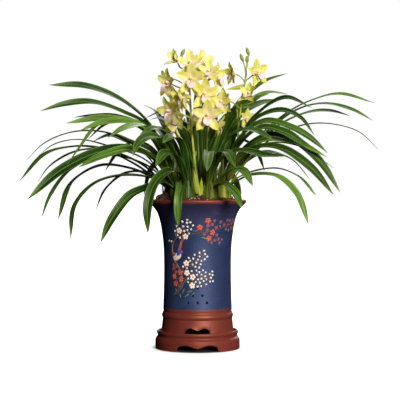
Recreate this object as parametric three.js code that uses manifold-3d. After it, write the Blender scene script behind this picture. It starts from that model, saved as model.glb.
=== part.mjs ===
// A potted cymbidium orchid. A tall clay pot stands on its footed saucer and is filled with
// bark. Ten leafy growths, each a pseudobulb with its own fan of strap leaves, stand in the
// bark, and three flower spikes rise between them.
//
// Units are millimetres. +Z is up, -Y is the front, and the origin is the middle of the
// saucer's base, on the table.

import * as THREE from 'three';
import { mergeVertices } from 'three/addons/utils/BufferGeometryUtils.js';
import Module from 'manifold-3d';

const wasm = await Module();
wasm.setup();

// Driving dimensions of the pot and its saucer
const SEAT_GAP = 0.3;             // between pieces that rest on each other
const RIM_RADIUS = 110;           // a 22 cm mouth
const RIM_TOP = 334;              // height of the rim above the table
const SAUCER_FLOOR = 32;          // the pot stands on it
const SAUCER_LIP_TOP = 41;
const SAUCER_RADIUS = 95.2;       // widest part of the saucer's foot
const POT_FOOT = SAUCER_FLOOR + SEAT_GAP;
const POT_FLOOR_UNDER = 60;       // recess under the pot's floor
const POT_FLOOR_TOP = 68;
const TURNS = 30;                 // facets round the pot and the saucer

// Driving dimensions of the plant
const BULB_RADIUS = 15;
const BULB_BOTTOM = 312;
const BULB_TOP = 374;
const BULB_SIDES = 8;
const LEAF_ROOT = 350;            // leaves start inside their bulb, round this height
const LEAF_ROOT_RADIUS = 7;
const LEAF_ROOT_SPREAD = 17;      // across the bulb, from the first leaf to the last
const LEAF_STEP = 54;             // length of one facet along a leaf
const LEAF_THICK = 1.7;           // along the midrib
const LEAF_FOLD = 0.16;           // rise of the edges over the midrib, per half width
const SPIKE_BOTTOM = 320;
const SPIKE_RADIUS = 2.6;
const SPIKE_HOLE_CLEAR = 2.4;     // the stems lean a little inside their holes
const STALK_RADIUS = 1.5;
const TEPAL_LENGTH = 34;          // sepals and petals of a 7 cm bloom
const TEPAL_WIDTH = 19;
const TEPAL_THICK = 1.5;
const COLUMN_RADIUS = 2.9;
const TEPALS_AHEAD = 2.4;         // they leave the column this far ahead of its foot
const TEPAL_ROOT = 1.5;           // and start this far off its middle line

const DEG = Math.PI / 180;

// A solid from a closed geometry: vertices are merged, empty triangles are dropped, and
// the faces are turned outwards.
function solid(geometry) {
  const bare = geometry.clone();
  bare.deleteAttribute('normal');
  bare.deleteAttribute('uv');
  const merged = mergeVertices(bare, 1e-4);
  const place = merged.attributes.position;
  const index = merged.index.array;
  const kept = [];
  for (let i = 0; i < index.length; i += 3) {
    const [a, b, c] = [index[i], index[i + 1], index[i + 2]];
    if (a !== b && b !== c && c !== a) kept.push(a, b, c);
  }
  const [p, q, r] = [new THREE.Vector3(), new THREE.Vector3(), new THREE.Vector3()];
  let volume = 0;
  for (let i = 0; i < kept.length; i += 3) {
    p.fromBufferAttribute(place, kept[i]);
    q.fromBufferAttribute(place, kept[i + 1]);
    r.fromBufferAttribute(place, kept[i + 2]);
    volume += p.dot(q.cross(r));
  }
  if (volume < 0) kept.reverse();
  const vertProperties = new Float32Array(place.array);
  const triVerts = new Uint32Array(kept);
  return new wasm.Manifold(new wasm.Mesh({ numProp: 3, vertProperties, triVerts }));
}

function join(solids) {
  return solids.reduce((sum, next) => sum.add(next));
}

// The largest body alone: loose scraps go, and small closed hollows are filled.
function largest(body) {
  return body.decompose().sort((a, b) => b.volume() - a.volume())[0];
}

function mesh(name, body, material) {
  const { vertProperties, triVerts } = body.getMesh();
  const geometry = new THREE.BufferGeometry();
  geometry.setAttribute('position', new THREE.BufferAttribute(vertProperties, 3));
  geometry.setIndex(new THREE.BufferAttribute(triVerts, 1));
  geometry.computeVertexNormals();
  const made = new THREE.Mesh(geometry, material);
  made.name = name;
  return made;
}

// A turned solid from [radius, height] points, round the Z axis or round the line x, y.
function turned(profile, turns, x = 0, y = 0) {
  const points = profile.map(([radius, height]) => new THREE.Vector2(radius, height));
  const geometry = new THREE.LatheGeometry(points, turns);
  geometry.rotateX(Math.PI / 2);
  geometry.translate(x, y, 0);
  return geometry;
}

// The same random numbers on every run, for the pieces of bark.
function seeded(seed) {
  let state = seed;
  return () => {
    state = (state * 1664525 + 1013904223) % 4294967296;
    return state / 4294967296;
  };
}

const material = (colour, roughness) => new THREE.MeshStandardMaterial({
  color: colour, roughness, metalness: 0,
});
const BARE_CLAY = material(0x8a4c42, 0.7);
const BLUE_SLIP = material(0x2b3452, 0.6);
const BARK = material(0x3a281c, 0.95);
const LEAF_GREEN = material(0x2f6420, 0.45);
const STALK_GREEN = material(0x9aa32c, 0.5);
const PETAL_YELLOW = material(0xe3cf55, 0.55);
const LIP_PINK = material(0xf4d9dc, 0.5);

// An arched way out under a foot: two lobes with a cusp between them, cut through the
// front wall and a third of a turn to each side. Half of the outline is [x, height].
function footArches(half, from, radiusIn, radiusOut) {
  const outline = new THREE.Shape();
  outline.moveTo(-half[0][0], from - 1);
  half.forEach(([x, height]) => outline.lineTo(-x, height));
  [...half].reverse().forEach(([x, height]) => outline.lineTo(x, height));
  outline.lineTo(half[0][0], from - 1);
  const depth = radiusOut - radiusIn;
  return [0, 120, 240].map((turn) => {
    const cutter = new THREE.ExtrudeGeometry(outline, { depth, bevelEnabled: false });
    cutter.rotateX(Math.PI / 2);
    cutter.translate(0, -radiusIn, 0);
    cutter.rotateZ(turn * DEG);
    return solid(cutter);
  });
}

// The saucer: a turned stand with a lip round its floor, hollow between its three feet.
function makeSaucer() {
  const profile = [
    [0, 24], [82, 24], [85, 0], [SAUCER_RADIUS - 0.7, 0], [SAUCER_RADIUS, 6],
    [SAUCER_RADIUS, 18], [93.6, 24], [89.5, 28], [89.5, 31], [91.4, 35], [91.4, 38.5],
    [90, SAUCER_LIP_TOP], [86.8, SAUCER_LIP_TOP - 1], [85.6, SAUCER_FLOOR], [0, SAUCER_FLOOR],
  ];
  const half = [[46.5, 0], [45, 8], [38, 13], [27, 15], [16, 13], [7, 10], [0, 8]];
  let body = solid(turned(profile, TURNS));
  footArches(half, 0, 60, 110).forEach((arch) => { body = body.subtract(arch); });
  return body;
}

// Inside of the pot's wall, from the floor up to the rim
const INSIDE = [
  [68.6, POT_FLOOR_TOP], [69.4, 100], [67.9, 190], [72, 260], [82, 302], [90, 315], [99, 326],
];

// The pot: thrown, with a rolled rim, a bead over its foot and a recess under its floor.
function makePot() {
  const outside = [
    [82.3, POT_FOOT], [80.4, 50], [78.6, 66], [80.3, 74], [77.3, 83], [75.5, 170],
    [76.3, 222], [80, 260], [86.8, 294], [92.7, 308], [105.4, 322.5], [109, 326],
    [RIM_RADIUS, 330], [108, RIM_TOP], [103, RIM_TOP - 1],
  ];
  const profile = [
    [0, POT_FLOOR_UNDER], [70, POT_FLOOR_UNDER], [73, POT_FOOT],
    ...outside, ...[...INSIDE].reverse(), [0, POT_FLOOR_TOP],
  ];
  let body = solid(turned(profile, TURNS));
  const half = [[28.5, 32], [27.5, 42], [22, 49.5], [14, 52], [6, 48.5], [0, 45.5]];
  footArches(half, POT_FOOT, 50, 100).forEach((arch) => { body = body.subtract(arch); });
  const drain = new THREE.CylinderGeometry(9, 9, 30, 12);
  drain.rotateX(Math.PI / 2);
  drain.translate(0, 0, (POT_FLOOR_UNDER + POT_FLOOR_TOP) / 2);
  body = body.subtract(solid(drain));
  const vents = [[0, 140], [-10.5, 123], [10.5, 123], [-20, 107], [0.5, 107], [21, 107]];
  vents.forEach(([x, height]) => {
    const vent = new THREE.CylinderGeometry(2.4, 2.4, 30, 8);
    vent.translate(x, -RIM_RADIUS * 0.65, height);
    body = body.subtract(solid(vent));
  });
  return body;
}

// Where the bulbs stand in the bark, and every leaf of each growth. A leaf is its heading
// in degrees, its width, its roll at root and tip, and its course as [reach, height].
const leaf = (heading, width, roll, course) => ({ heading, width, roll, course });
const GROWTHS = {
  left: { x: -60, y: 8, leaves: [
    leaf(187, 22, [-30, -55], [[47, 497], [119, 559], [195, 588], [273, 589]]),
    leaf(194, 19, [-32, -52], [[44, 490], [110, 527], [180, 550], [238, 546], [295, 529]]),
    leaf(199, 19, [-35, -60], [[54, 487], [110, 509], [165, 514], [241, 502]]),
    leaf(176, 19, [-20, -32], [[43, 438], [97, 463], [138, 478], [177, 465]]),
    leaf(180, 13, [0, 0], [[58, 434], [133, 480], [216, 486], [284, 461], [325, 423]]),
    leaf(183, 18, [-18, -28], [[70, 414], [160, 447], [216, 452], [283, 434], [339, 376]]),
    leaf(172, 14, [0, 5], [[82, 411], [163, 446], [221, 441], [280, 409], [308, 375]]),
    leaf(188, 18, [-28, -45], [[41, 380], [95, 403], [160, 408], [222, 371], [254, 288]]),
  ] },
  left_front: { x: -46, y: -36, leaves: [
    leaf(207, 18, [-30, -55], [[66, 470], [114, 502], [173, 503], [231, 483]]),
    leaf(224, 24, [-28, -42], [[56, 465], [92, 493], [146, 490], [199, 467]]),
    leaf(204, 29, [-32, -52], [[52, 422], [104, 445], [181, 438], [271, 397], [344, 335]]),
    leaf(212, 21, [-32, -52], [[61, 421], [119, 443], [192, 427], [242, 405]]),
    leaf(194, 13, [-15, -25], [[72, 411], [162, 430], [239, 397], [282, 343], [302, 291]]),
    leaf(198, 16, [-20, -32], [[55, 380], [128, 386], [186, 369], [231, 321], [241, 248]]),
    leaf(218, 21, [-28, -45], [[41, 372], [73, 362], [127, 343], [174, 294], [203, 244]]),
    leaf(206, 10, [-20, -32], [[65, 476], [141, 506], [190, 494], [229, 448], [258, 410]]),
  ] },
  front: { x: -22, y: -60, leaves: [
    leaf(236, 22, [-15, -25], [[25, 386], [67, 396], [122, 371], [147, 325], [147, 264]]),
    leaf(228, 25, [-20, -32], [[37, 421], [78, 464], [119, 471], [155, 454], [170, 428]]),
    leaf(246, 22, [-15, -25], [[12, 411], [36, 454], [80, 471], [128, 455]]),
    leaf(254, 22, [0, 0], [[14, 362], [42, 366], [62, 347], [70, 320], [71, 279]]),
    leaf(214, 24, [-20, -30], [[20, 425], [44, 470], [84, 490], [122, 476]]),
    leaf(240, 24, [-15, -25], [[24, 400], [58, 430], [98, 434], [132, 406]]),
  ] },
  right_front: { x: 30, y: -54, leaves: [
    leaf(-46, 20, [22, 34], [[12, 395], [46, 430], [104, 439], [163, 429], [228, 427]]),
    leaf(-58, 20, [12, 22], [[20, 362], [50, 368], [76, 360], [103, 343], [120, 318]]),
    leaf(-40, 20, [22, 34], [[31, 382], [65, 399], [92, 396], [116, 365]]),
    leaf(-93, 22, [-8, -40], [[36, 408], [86, 437], [140, 428], [195, 395]]),
    leaf(-33, 22, [20, 30], [[22, 430], [54, 474], [104, 486], [160, 462]]),
    leaf(-70, 20, [10, 20], [[22, 400], [56, 432], [100, 436], [146, 404]]),
  ] },
  right: { x: 58, y: -18, leaves: [
    leaf(-14, 17, [28, 42], [[38, 460], [76, 520], [140, 559], [199, 536]]),
    leaf(-4, 11, [0, 0], [[82, 449], [160, 494], [226, 503], [299, 485], [343, 446]]),
    leaf(-9, 17, [30, 45], [[37, 456], [73, 511], [127, 532], [171, 516], [203, 476]]),
    leaf(-16, 19, [34, 50], [[38, 467], [95, 506], [152, 494], [196, 470], [236, 436]]),
    leaf(-26, 19, [34, 50], [[41, 453], [94, 492], [148, 482], [183, 462], [220, 440]]),
    leaf(-21, 16, [30, 45], [[51, 440], [109, 466], [178, 456], [239, 427]]),
    leaf(-19, 22, [34, 50], [[39, 433], [103, 474], [165, 463], [221, 417], [266, 351]]),
    leaf(-29, 20, [34, 50], [[32, 411], [81, 446], [140, 447], [213, 404], [267, 345]]),
    leaf(-24, 20, [34, 50], [[30, 372], [66, 387], [128, 384], [174, 347], [202, 278]]),
    leaf(-7, 11, [0, 10], [[30, 380], [75, 398], [126, 402], [171, 382], [210, 338]]),
  ] },
  right_back: { x: 52, y: 26, leaves: [
    leaf(2, 13, [24, 36], [[79, 464], [136, 518], [202, 556], [273, 573], [351, 553]]),
    leaf(9, 16, [24, 36], [[92, 469], [174, 535], [232, 552], [304, 541], [358, 515]]),
    leaf(15, 14, [22, 34], [[82, 446], [147, 506], [216, 534], [265, 538], [315, 527]]),
    leaf(17, 12, [0, 10], [[59, 435], [120, 462], [194, 454], [244, 426], [279, 405]]),
    leaf(28, 17, [12, 22], [[50, 405], [120, 440], [190, 425], [240, 380]]),
    leaf(40, 22, [12, 22], [[20, 430], [48, 490], [88, 515], [130, 508]]),
  ] },
  back_right: { x: 24, y: 56, leaves: [
    leaf(14, 18, [22, 34], [[33, 481], [76, 555], [129, 602], [191, 626]]),
    leaf(24, 19, [24, 36], [[46, 481], [95, 545], [147, 580], [207, 580]]),
    leaf(34, 22, [22, 34], [[34, 447], [82, 522], [143, 556], [208, 569]]),
    leaf(19, 22, [24, 36], [[22, 445], [52, 510], [100, 560], [150, 578]]),
    leaf(74, 17, [0, 10], [[25, 450], [60, 530], [100, 575], [137, 593]]),
    leaf(52, 19, [0, 15], [[50, 430], [115, 470], [180, 455], [225, 400]]),
    leaf(64, 18, [0, 10], [[40, 385], [95, 400], [150, 375], [185, 315]]),
    leaf(88, 24, [0, 10], [[18, 440], [44, 505], [76, 538], [112, 540]]),
    leaf(44, 24, [12, 22], [[16, 425], [36, 480], [64, 518], [98, 530]]),
  ] },
  back: { x: -16, y: 60, leaves: [
    leaf(128, 18, [0, 0], [[59, 447], [98, 495], [134, 537], [183, 558]]),
    leaf(112, 17, [0, 0], [[50, 471], [100, 550], [150, 590], [196, 600]]),
    leaf(94, 18, [0, 10], [[35, 460], [80, 510], [140, 520], [190, 480]]),
    leaf(104, 19, [0, -10], [[45, 390], [100, 405], [150, 375], [185, 310]]),
    leaf(121, 17, [0, -10], [[55, 405], [125, 430], [190, 400], [225, 340]]),
    leaf(142, 24, [0, -10], [[20, 435], [48, 495], [84, 522], [120, 520]]),
    leaf(80, 24, [0, 10], [[16, 430], [38, 490], [66, 525], [100, 535]]),
  ] },
  left_back: { x: -48, y: 44, leaves: [
    leaf(162, 17, [12, 22], [[64, 486], [143, 525], [213, 527], [254, 524]]),
    leaf(150, 14, [0, 10], [[71, 486], [132, 518], [197, 507], [247, 473]]),
    leaf(168, 12, [0, 0], [[74, 423], [158, 454], [235, 471], [293, 460], [332, 434]]),
    leaf(139, 19, [0, -10], [[50, 420], [110, 462], [170, 455], [230, 400]]),
    leaf(155, 17, [0, -10], [[55, 385], [120, 395], [180, 360], [215, 300]]),
    leaf(126, 24, [0, -10], [[22, 430], [54, 482], [94, 500], [134, 486]]),
  ] },
  middle: { x: 4, y: 8, leaves: [
    leaf(76, 18, [0, 10], [[14, 440], [34, 520], [66, 575]]),
    leaf(98, 18, [0, -10], [[12, 450], [30, 530], [58, 590]]),
    leaf(58, 17, [12, 22], [[12, 430], [32, 500], [62, 550]]),
    leaf(122, 18, [-15, -25], [[12, 430], [32, 500], [62, 545]]),
    leaf(20, 22, [15, 30], [[20, 430], [50, 500], [90, 540], [130, 545]]),
    leaf(160, 22, [-15, -30], [[20, 430], [50, 500], [90, 530], [130, 520]]),
    leaf(136, 23, [-15, -25], [[12, 420], [30, 470], [54, 505], [84, 512]]),
    leaf(42, 22, [12, 22], [[12, 420], [30, 472], [56, 505], [84, 512]]),
  ] },
};

const bulbProfile = (grow, top) => [
  [0, BULB_BOTTOM - grow], [9 + grow, BULB_BOTTOM + 3 - grow],
  [BULB_RADIUS + grow, BULB_BOTTOM + 22], ...top,
];

function makeBulb({ x, y }) {
  const top = [[BULB_RADIUS - 1.5, BULB_TOP - 18], [8, BULB_TOP - 4], [0, BULB_TOP]];
  return solid(turned(bulbProfile(0, top), BULB_SIDES, x, y));
}

// The plain hole that a bulb stands in, open upwards
function bulbHole({ x, y }) {
  const clear = BULB_TOP + 40;
  const top = [[BULB_RADIUS + SEAT_GAP, clear], [0, clear]];
  return solid(turned(bulbProfile(SEAT_GAP, top), BULB_SIDES, x, y));
}

// Bark heaped higher at the left and the back
const HEAP_EDGE_RADIUS = 97;
const HEAP_EDGE_HEIGHT = 326;
const BARK_CHUNKS = 15;
function heapHeight(x, y) {
  const out = Math.min(Math.hypot(x, y) / HEAP_EDGE_RADIUS, 1);
  const lift = 17 + 10 * Math.cos(Math.atan2(y, x) - 150 * DEG) * out;
  return HEAP_EDGE_HEIGHT + lift * (1 - out ** 5);
}

// One rough piece of bark: a box with its corners pulled about
function barkChunk(random, x, y) {
  const size = 12 + 9 * random();
  const chunk = new THREE.BoxGeometry(size, size * 0.7, size * 0.6);
  chunk.deleteAttribute('normal');
  chunk.deleteAttribute('uv');
  const corners = mergeVertices(chunk, 1e-4);
  const place = corners.attributes.position;
  for (let i = 0; i < place.count; i += 1) {
    const pull = () => 1 + 0.5 * (random() - 0.5);
    place.setXYZ(i, place.getX(i) * pull(), place.getY(i) * pull(), place.getZ(i) * pull());
  }
  corners.rotateX(random() - 0.5);
  corners.rotateY(random() - 0.5);
  corners.rotateZ(random() * Math.PI);
  corners.translate(x, y, heapHeight(x, y) + 1);
  return solid(corners);
}

function makePottingMix(holes) {
  const rings = [0, 30, 58, 80];
  const profile = [
    ...rings.map((radius) => [radius, HEAP_EDGE_HEIGHT + 1]),
    [HEAP_EDGE_RADIUS, HEAP_EDGE_HEIGHT],
    ...[...INSIDE].reverse().slice(1).map(([radius, height]) => [radius - SEAT_GAP, height]),
  ];
  profile[profile.length - 1][1] += SEAT_GAP;
  profile.push([0, POT_FLOOR_TOP + SEAT_GAP]);
  const heap = turned(profile, TURNS / 2);
  const place = heap.attributes.position;
  for (let i = 0; i < place.count; i += 1) {
    const onTop = place.getZ(i) > HEAP_EDGE_HEIGHT + 0.5;
    if (onTop) place.setZ(i, heapHeight(place.getX(i), place.getY(i)));
  }
  const random = seeded(7);
  const pieces = [solid(heap)];
  for (let i = 0; i < BARK_CHUNKS; i += 1) {
    const radius = 87 * Math.sqrt((i + 0.5) / BARK_CHUNKS);
    const turn = i * 137.5 * DEG;
    pieces.push(barkChunk(random, radius * Math.cos(turn), radius * Math.sin(turn)));
  }
  let body = join(pieces);
  holes.forEach((hole) => { body = body.subtract(hole); });
  return largest(body);
}

// A thin blade along a row of stations. Each station has its middle, the way across, the
// way that its upper face looks, its half width and the rise of its edges. Its section has
// four corners, both faces are split alike, and it ends in a point.
function blade(stations, tip, thick) {
  const corners = [];
  stations.forEach(({ middle, across, face, half, rise }) => {
    const edge = (sign) => middle.clone().addScaledVector(across, sign * half)
      .addScaledVector(face, rise);
    corners.push(edge(1), middle.clone().addScaledVector(face, thick / 2));
    corners.push(edge(-1), middle.clone().addScaledVector(face, -thick / 2));
  });
  corners.push(tip);
  const faces = [0, 2, 1, 0, 3, 2];
  const last = 4 * (stations.length - 1);
  for (let at = 0; at < last; at += 4) {
    const next = at + 4;
    faces.push(at, at + 1, next + 1, at, next + 1, next);
    faces.push(at + 1, at + 2, next + 2, at + 1, next + 2, next + 1);
    faces.push(at + 2, at + 3, next + 2, at + 3, next + 3, next + 2);
    faces.push(at + 3, at, next + 3, at, next, next + 3);
  }
  const point = 4 * stations.length;
  for (let side = 0; side < 4; side += 1) faces.push(last + side, last + (side + 1) % 4, point);
  const geometry = new THREE.BufferGeometry().setFromPoints(corners);
  geometry.setIndex(faces);
  return solid(geometry);
}

const smooth = (value) => THREE.MathUtils.smoothstep(value, 0, 1);

// A strap leaf: narrow at its root, widest through the middle, drawn out to a point
const leafWidth = (u) => (
  (0.4 + 0.6 * smooth(u / 0.35)) * (1 - Math.max(0, (u - 0.68) / 0.32) ** 2.4));

function makeLeaf({ x, y }, { heading, width, roll, course }, spread) {
  const out = new THREE.Vector3(Math.cos(heading * DEG), Math.sin(heading * DEG), 0);
  const side = new THREE.Vector3(-out.y, out.x, 0);
  const climb = Math.atan2(course[0][1] - LEAF_ROOT, course[0][0]);
  const root = [
    LEAF_ROOT_RADIUS * Math.cos(climb), LEAF_ROOT + LEAF_ROOT_RADIUS * Math.sin(climb),
  ];
  const points = [root, ...course].map(([reach, height]) => (
    new THREE.Vector3(x + out.x * reach, y + out.y * reach, height)));
  points[0].addScaledVector(side, spread);
  const line = new THREE.CatmullRomCurve3(points, false, 'centripetal');
  const steps = Math.max(5, Math.round(line.getLength() / LEAF_STEP));
  const stations = [];
  for (let i = 0; i < steps; i += 1) {
    const u = i / steps;
    const lift = new THREE.Vector3().crossVectors(line.getTangentAt(u), side);
    const turn = THREE.MathUtils.lerp(roll[0], roll[1], smooth(u)) * DEG;
    const [flat, steep] = [Math.cos(turn), Math.sin(turn)];
    const across = side.clone().multiplyScalar(flat).addScaledVector(lift, steep);
    const face = lift.clone().multiplyScalar(flat).addScaledVector(side, -steep);
    const half = (width / 2) * leafWidth(u);
    stations.push({ middle: line.getPointAt(u), across, face, half, rise: LEAF_FOLD * half });
  }
  return blade(stations, line.getPointAt(1), LEAF_THICK);
}

// Leaf roots stand side by side over the bulb, in the order of their headings.
function makeGrowth(growth) {
  const headings = growth.leaves.map(({ heading }) => heading).sort((a, b) => a - b);
  const places = Math.max(1, headings.length - 1);
  const pieces = growth.leaves.map((each) => {
    const place = headings.indexOf(each.heading) / places - 0.5;
    return makeLeaf(growth, each, place * LEAF_ROOT_SPREAD);
  });
  return largest(join([makeBulb(growth), ...pieces]));
}

const smoothLine = (points) => (
  new THREE.CatmullRomCurve3(points.map((point) => new THREE.Vector3(...point))));

// A round stalk along a smooth curve through its points
function stalk(points, radius, sides, steps) {
  const line = smoothLine(points);
  const section = new THREE.Shape();
  for (let i = 0; i < sides; i += 1) {
    const turn = (i / sides) * 2 * Math.PI;
    const corner = [radius * Math.cos(turn), radius * Math.sin(turn)];
    if (i === 0) section.moveTo(...corner);
    else section.lineTo(...corner);
  }
  const along = { steps, extrudePath: line, bevelEnabled: false };
  return solid(new THREE.ExtrudeGeometry(section, along));
}

// A bud: an egg along the line from its stalk to its tip
function bud(from, to, radius) {
  const start = new THREE.Vector3(...from);
  const end = new THREE.Vector3(...to);
  const length = start.distanceTo(end);
  const profile = [[0, 0], [0.7, 0.15], [1, 0.42], [0.75, 0.75], [0, 1]];
  const points = profile.map(([r, h]) => new THREE.Vector2(r * radius, h * length));
  const egg = new THREE.LatheGeometry(points, 6);
  const along = end.clone().sub(start).normalize();
  const upright = new THREE.Vector3(0, 1, 0);
  egg.applyQuaternion(new THREE.Quaternion().setFromUnitVectors(upright, along));
  egg.translate(start.x, start.y, start.z);
  return solid(egg);
}

// A bract: a short blade that wraps the stem at its foot and stands off at its tip
function bract(from, to, width) {
  const start = new THREE.Vector3(...from);
  const end = new THREE.Vector3(...to);
  const along = end.clone().sub(start).normalize();
  const face = new THREE.Vector3(0, -1, 0).addScaledVector(along, along.y).normalize();
  const across = new THREE.Vector3().crossVectors(along, face);
  const stations = [0, 0.3, 0.65].map((u) => ({
    middle: start.clone().lerp(end, u), across, face: face.clone().negate(),
    half: (width / 2) * (1 - 0.75 * u * u), rise: width * 0.2 * (1 - u),
  }));
  return blade(stations, end, 1.6);
}

// Where each bloom sits: the end of its flower stalk, the way it looks (turn to the right
// and upwards, in degrees), its lean, its size and how far it has opened.
const bloom = (at, turn, rise, lean, size = 1, open = 1) => ({ at, turn, rise, lean, size, open });
const SPIKES = {
  left: {
    stem: [[5, -50, SPIKE_BOTTOM], [5, -50, 334], [4.6, -50, 348], [-1, -50, 378],
      [-6, -50, 415], [-11, -49, 468], [-14, -48, 510], [-16, -46, 554], [-18, -44, 588],
      [-22, -43, 615], [-26, -42, 632]],
    buds: [
      { from: [-26, -42, 630], over: [-30, -42, 642], start: [-37, -42, 651], tip: [-28, -42, 668] },
      { from: [-24, -42, 622], over: [-25, -42, 634], start: [-25, -42, 643], tip: [-16, -42, 661] },
      { from: [-17, -44, 580], over: [-44, -8, 600], start: [-74, -4, 607], tip: [-80, -4, 624] },
    ],
    bracts: [
      { from: [3, -52, 348], to: [-12, -54, 408], width: 13 },
      { from: [7, -51, 342], to: [9, -56, 384], width: 12 },
      { from: [-8, -51, 430], to: [-2, -56, 442], width: 9 },
    ],
    blooms: {
      left_top: bloom([-44, -32, 638], -50, 45, 10, 0.9, 0.35),
      crown: bloom([-14, -55, 629], -8, 25, 5, 1),
      front_high: bloom([-13, -84, 596], -4, 2, 0, 1.1),
      side_high: bloom([-57, -38, 590], -52, 4, -10, 1.1, 0.95),
      side_mid: bloom([-54, -60, 530], -45, -12, 8, 1.1),
      back_mid: bloom([-37, -2, 564], -138, 5, 0, 1.1, 0.5),
      low: bloom([-46, -24, 496], -80, -38, 0, 1, 0.85),
      back_low: bloom([-13, 5, 518], 150, -5, 0, 1.05, 0.5),
      edge_on: bloom([-27, -100, 556], -78, -14, 10, 1, 0.9),
      left_mid: bloom([-38, -55, 560], -2, -11, -14, 0.87, 0.9),
      left_low: bloom([-38, 9, 515], -41, 8, -9, 0.9, 0.9),
    },
  },
  middle: {
    stem: [[16, -32, SPIKE_BOTTOM], [16, -32, 334], [16.2, -32, 350], [19, -33, 400],
      [21, -34, 462], [20, -34, 510], [18, -34, 555], [16, -34, 590], [14, -34, 612]],
    buds: [],
    bracts: [
      { from: [17, -34, 352], to: [23, -38, 392], width: 11 },
    ],
    blooms: {
      top: bloom([10, -12, 634], 35, 35, 0, 1, 0.9),
      right_top: bloom([34, -30, 604], 62, 8, 10, 1.05, 0.9),
      side: bloom([38, -14, 500], 100, -12, 0, 0.9, 0.85),
      centre: bloom([13, -62, 566], 14, -4, 0, 1.1),
      front_low: bloom([21, -84, 518], 3, -6, 0, 1.15),
      back: bloom([22, 12, 548], 160, 0, 0, 1.05, 0.5),
      right_high: bloom([25, -74, 609], -5, 31, -3, 0.87, 0.9),
      right_mid: bloom([53, -42, 549], -11, 5, -13, 0.86, 0.9),
    },
  },
  right: {
    stem: [[46, 3, SPIKE_BOTTOM], [46, 3, 334], [47.5, 3, 350], [62, 4, 390], [78, 4, 430], [90, 4, 464],
      [92, 4, 491], [96, 4, 527], [100, 4, 559], [108, 4, 605], [110, 4, 628], [112, 4, 648]],
    buds: [
      { from: [112, 4, 644], over: [114, 4, 652], start: [116, 4, 657], tip: [110, 4, 676] },
      { from: [110, 4, 628], over: [112, 4, 636], start: [112, 4, 640], tip: [111, 4, 657] },
      { from: [108, 4, 620], over: [106, 4, 634], start: [103, 4, 643], tip: [96, 4, 662] },
      { from: [93, 4, 500], over: [90, 9, 515], start: [90, 11, 526], tip: [90, 12, 550] },
    ],
    bracts: [
      { from: [105, 3, 588], to: [64, 0, 581], width: 11 },
    ],
    blooms: {
      left_top: bloom([86, 0, 615], -68, 5, 0, 0.9, 0.85),
      right_top: bloom([129, 6, 617], 38, 8, 12, 1),
      mid: bloom([120, -18, 562], -35, 40, 0, 0.95, 0.6),
      left_low: bloom([73, -14, 553], -62, 3, 5, 1, 0.9),
      low: bloom([107, -4, 514], 30, 12, 0, 0.75, 0.8),
    },
  },
};

// One sepal or petal, in the bloom's own frame: x to its right, y up, z the way it looks
function tepal(angle, length, width, tilt, curl) {
  const out = new THREE.Vector3(Math.sin(angle * DEG), Math.cos(angle * DEG), 0);
  const across = new THREE.Vector3(-out.y, out.x, 0);
  const ahead = new THREE.Vector3(0, 0, 1);
  const lean = (u) => (tilt - curl * u) * DEG;
  const steps = 4;
  const middle = new THREE.Vector3(0, 0, TEPALS_AHEAD).addScaledVector(out, TEPAL_ROOT);
  const stations = [];
  for (let i = 0; i < steps; i += 1) {
    const u = i / steps;
    const along = out.clone().multiplyScalar(Math.cos(lean(u)))
      .addScaledVector(ahead, Math.sin(lean(u)));
    const face = new THREE.Vector3().crossVectors(across, along).multiplyScalar(-1);
    const half = (width / 2) * (0.12 + 0.88 * Math.sin(Math.PI * u * 0.92) ** 1.3);
    stations.push({ middle: middle.clone(), across, face, half, rise: 0.22 * half });
    middle.addScaledVector(along, length / steps);
  }
  return blade(stations, middle, TEPAL_THICK);
}

const lookOf = ({ turn, rise }) => new THREE.Vector3(
  Math.sin(turn * DEG) * Math.cos(rise * DEG),
  -Math.cos(turn * DEG) * Math.cos(rise * DEG),
  Math.sin(rise * DEG),
);

// Turns a bloom's own frame to the way it looks and moves it to its stalk
function placed(body, each) {
  const { at, lean, size } = each;
  const look = lookOf(each);
  const right = new THREE.Vector3(0, 0, 1).cross(look).normalize();
  const up = new THREE.Vector3().crossVectors(look, right);
  right.applyAxisAngle(look, lean * DEG);
  up.applyAxisAngle(look, lean * DEG);
  const grow = new THREE.Vector3(size, size, size);
  const pose = new THREE.Matrix4().makeBasis(right, up, look).scale(grow);
  pose.setPosition(...at);
  return body.transform(pose.toArray());
}

// Sepals, petals and column of one bloom
function makeBloom(each) {
  const close = (1 - each.open) * 62;
  const pieces = [stalk([[0, 0, -0.4], [0, 2.4, 9], [0, 2.6, 17]], COLUMN_RADIUS, 4, 2)];
  pieces.push(tepal(0, TEPAL_LENGTH, TEPAL_WIDTH, 20 + close, 5));
  [-68, 68].forEach((angle) => {
    pieces.push(tepal(angle, TEPAL_LENGTH * 0.97, TEPAL_WIDTH * 0.95, 24 + close, 14));
  });
  [-142, 142].forEach((angle) => {
    pieces.push(tepal(angle, TEPAL_LENGTH * 0.98, TEPAL_WIDTH * 0.92, 8 + close * 0.5, 10));
  });
  return placed(join(pieces), each);
}

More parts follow.
